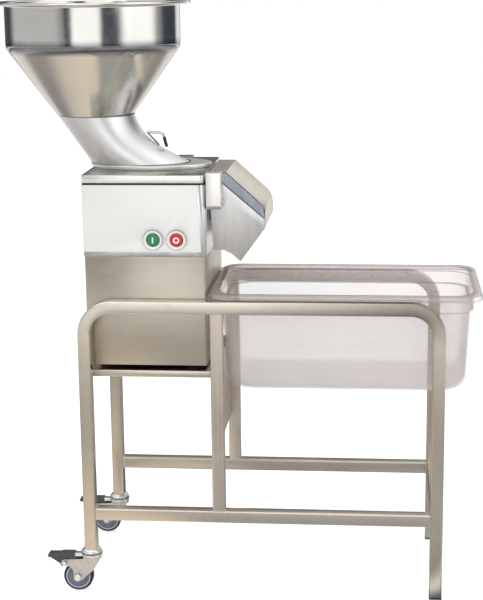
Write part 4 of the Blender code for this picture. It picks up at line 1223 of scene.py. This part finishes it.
def paint_small_nodes():
    paint("foot", "rubber_foot_1", "rubber_foot_2", "rubber_foot_3", "rubber_foot_4")
    paint("black", "front_right_foot", "rear_right_foot", "power_inlet_gland", "switch_block")
    paint("handle_steel", "head_handle_rod")
    paint("zinc", "latch_pin", "hinge_pin", "drive_shaft", "shaft_bearing", "motor_rotor")
    paint("inner_cast", "motor_stator", "bearing_carrier", "motor_pulley", "driven_pulley")
    paint("belt", "drive_belt")


# --- camera, floor and light ----------------------------------------------------------------------
LENS = 90.3825  # millimetres, on a 36 mm frame
SHIFT = (-0.01560833, -0.00117)
CAMERA_PLACE = (0.292677, -2.990080, 1.233388)
HEADING, TILT, LEAN = -0.0906073, 0.2173689, 0.0104348


def make_camera():
    """Long lens at the operator's eye height, turned a little to the left and tilted down."""
    data = bpy.data.cameras.new("camera")
    data.lens = LENS
    data.shift_x, data.shift_y = SHIFT
    data.clip_end = 100
    camera = bpy.data.objects.new("camera", data)
    bpy.context.scene.collection.objects.link(camera)
    camera.location = CAMERA_PLACE
    camera.rotation_mode = "QUATERNION"
    turn = Matrix.Rotation(-HEADING, 3, "Z") @ Matrix.Rotation(math.pi / 2 - TILT, 3, "X")
    camera.rotation_quaternion = (turn @ Matrix.Rotation(-LEAN, 3, "Z")).to_quaternion()
    bpy.context.scene.camera = camera


def stage_disc(name, radius, height, look):
    """A flat disc of the studio, centred under the machine."""
    mesh = bmesh.new()
    bmesh.ops.create_circle(mesh, cap_ends=True, segments=96, radius=radius)
    bmesh.ops.translate(mesh, vec=(0, 0, height), verts=mesh.verts)
    data = bpy.data.meshes.new(name)
    mesh.to_mesh(data)
    mesh.free()
    data.materials.append(look)
    made = bpy.data.objects.new(name, data)
    bpy.context.scene.collection.objects.link(made)
    return made


def make_floor():
    look = Finish("pale_floor")
    look.shader.inputs["Emission Color"].default_value = (1, 1, 1, 1)
    look.shader.inputs["Emission Strength"].default_value = 0.62
    look.shader.inputs["Specular IOR Level"].default_value = 0.0
    stage_disc("floor", 9, 0, look.set(Base_Color=(0.62, 0.62, 0.62), Roughness=1.0))
    make_reflected_floor()


def make_reflected_floor():
    """What polished metal sees below the horizon: a grey floor with darker and lighter sectors."""
    look = Finish("reflected_floor")
    turn = look.around()
    away = (look.axis("X") ** 2 + look.axis("Y") ** 2) ** 0.5
    near = look.ramp(turn, NEAR_SECTORS)
    far = look.ramp(turn, WALL_BANDS)
    middle = look.ramp(look.spread(away, 0.0, 6.0), FLOOR_RINGS)
    colour = look.mix(look.spread(away, 0.55, 1.25), near, middle)
    colour = look.mix(look.spread(away, 3.6, 5.5), colour, far)
    look.shader.inputs["Specular IOR Level"].default_value = 0.0
    look.shader.inputs["Emission Strength"].default_value = 1.0
    card = stage_disc("reflected_floor", 6, 0.004, look.set(Base_Color=(0, 0, 0), Emission_Color=colour))
    card.visible_camera = False
    card.visible_diffuse = False
    card.visible_transmission = False
    card.visible_shadow = False


def area_light(name, place, target_height, size, power):
    """A square soft light aimed at a height on the machine's middle."""
    data = bpy.data.lights.new(name, "AREA")
    data.size = size
    data.energy = power
    light = bpy.data.objects.new(name, data)
    bpy.context.scene.collection.objects.link(light)
    light.location = place
    light.rotation_mode = "QUATERNION"
    light.rotation_quaternion = (Vector((0, 0, target_height)) - Vector(place)).to_track_quat("-Z", "Y")
    light.visible_camera = False


def make_world():
    """White for plain sight; for reflections, pale walls with darker gaps between them."""
    sky = Sky("studio")
    height = sky.spread(sky.axis("Z"), 0.35, 0.75)
    walls = sky.mix(height, sky.ramp(sky.around(), WALL_BANDS), (1.0, 1.0, 1.0))
    glossy = sky.node("ShaderNodeLightPath", output="Is Glossy Ray")
    sky.plug(sky.shader.inputs["Color"], sky.mix(glossy, (1.0, 1.0, 1.0), walls))


def make_studio():
    make_world()
    make_floor()
    area_light("key_light", (-1.6, -2.6, 2.8), 0.7, 1.6, 12)
    area_light("fill_light", (2.2, -2.2, 1.8), 0.6, 1.4, 5)
    area_light("top_light", (0.2, 0.2, 3.2), 0.6, 2.0, 8)
    bpy.context.scene.view_settings.view_transform = "Standard"
    bpy.context.scene.view_settings.look = "None"


more_looks()
for side in ("front", "rear"):
    make_bent_tube(side)
    make_caster(side)
make_straight_tubes()
make_welds()
make_machine()
make_hopper()
make_neck()
make_head_welds()
make_handle()
make_tray()
make_buttons()
make_all_screws()
paint_small_nodes()
make_camera()
make_studio()
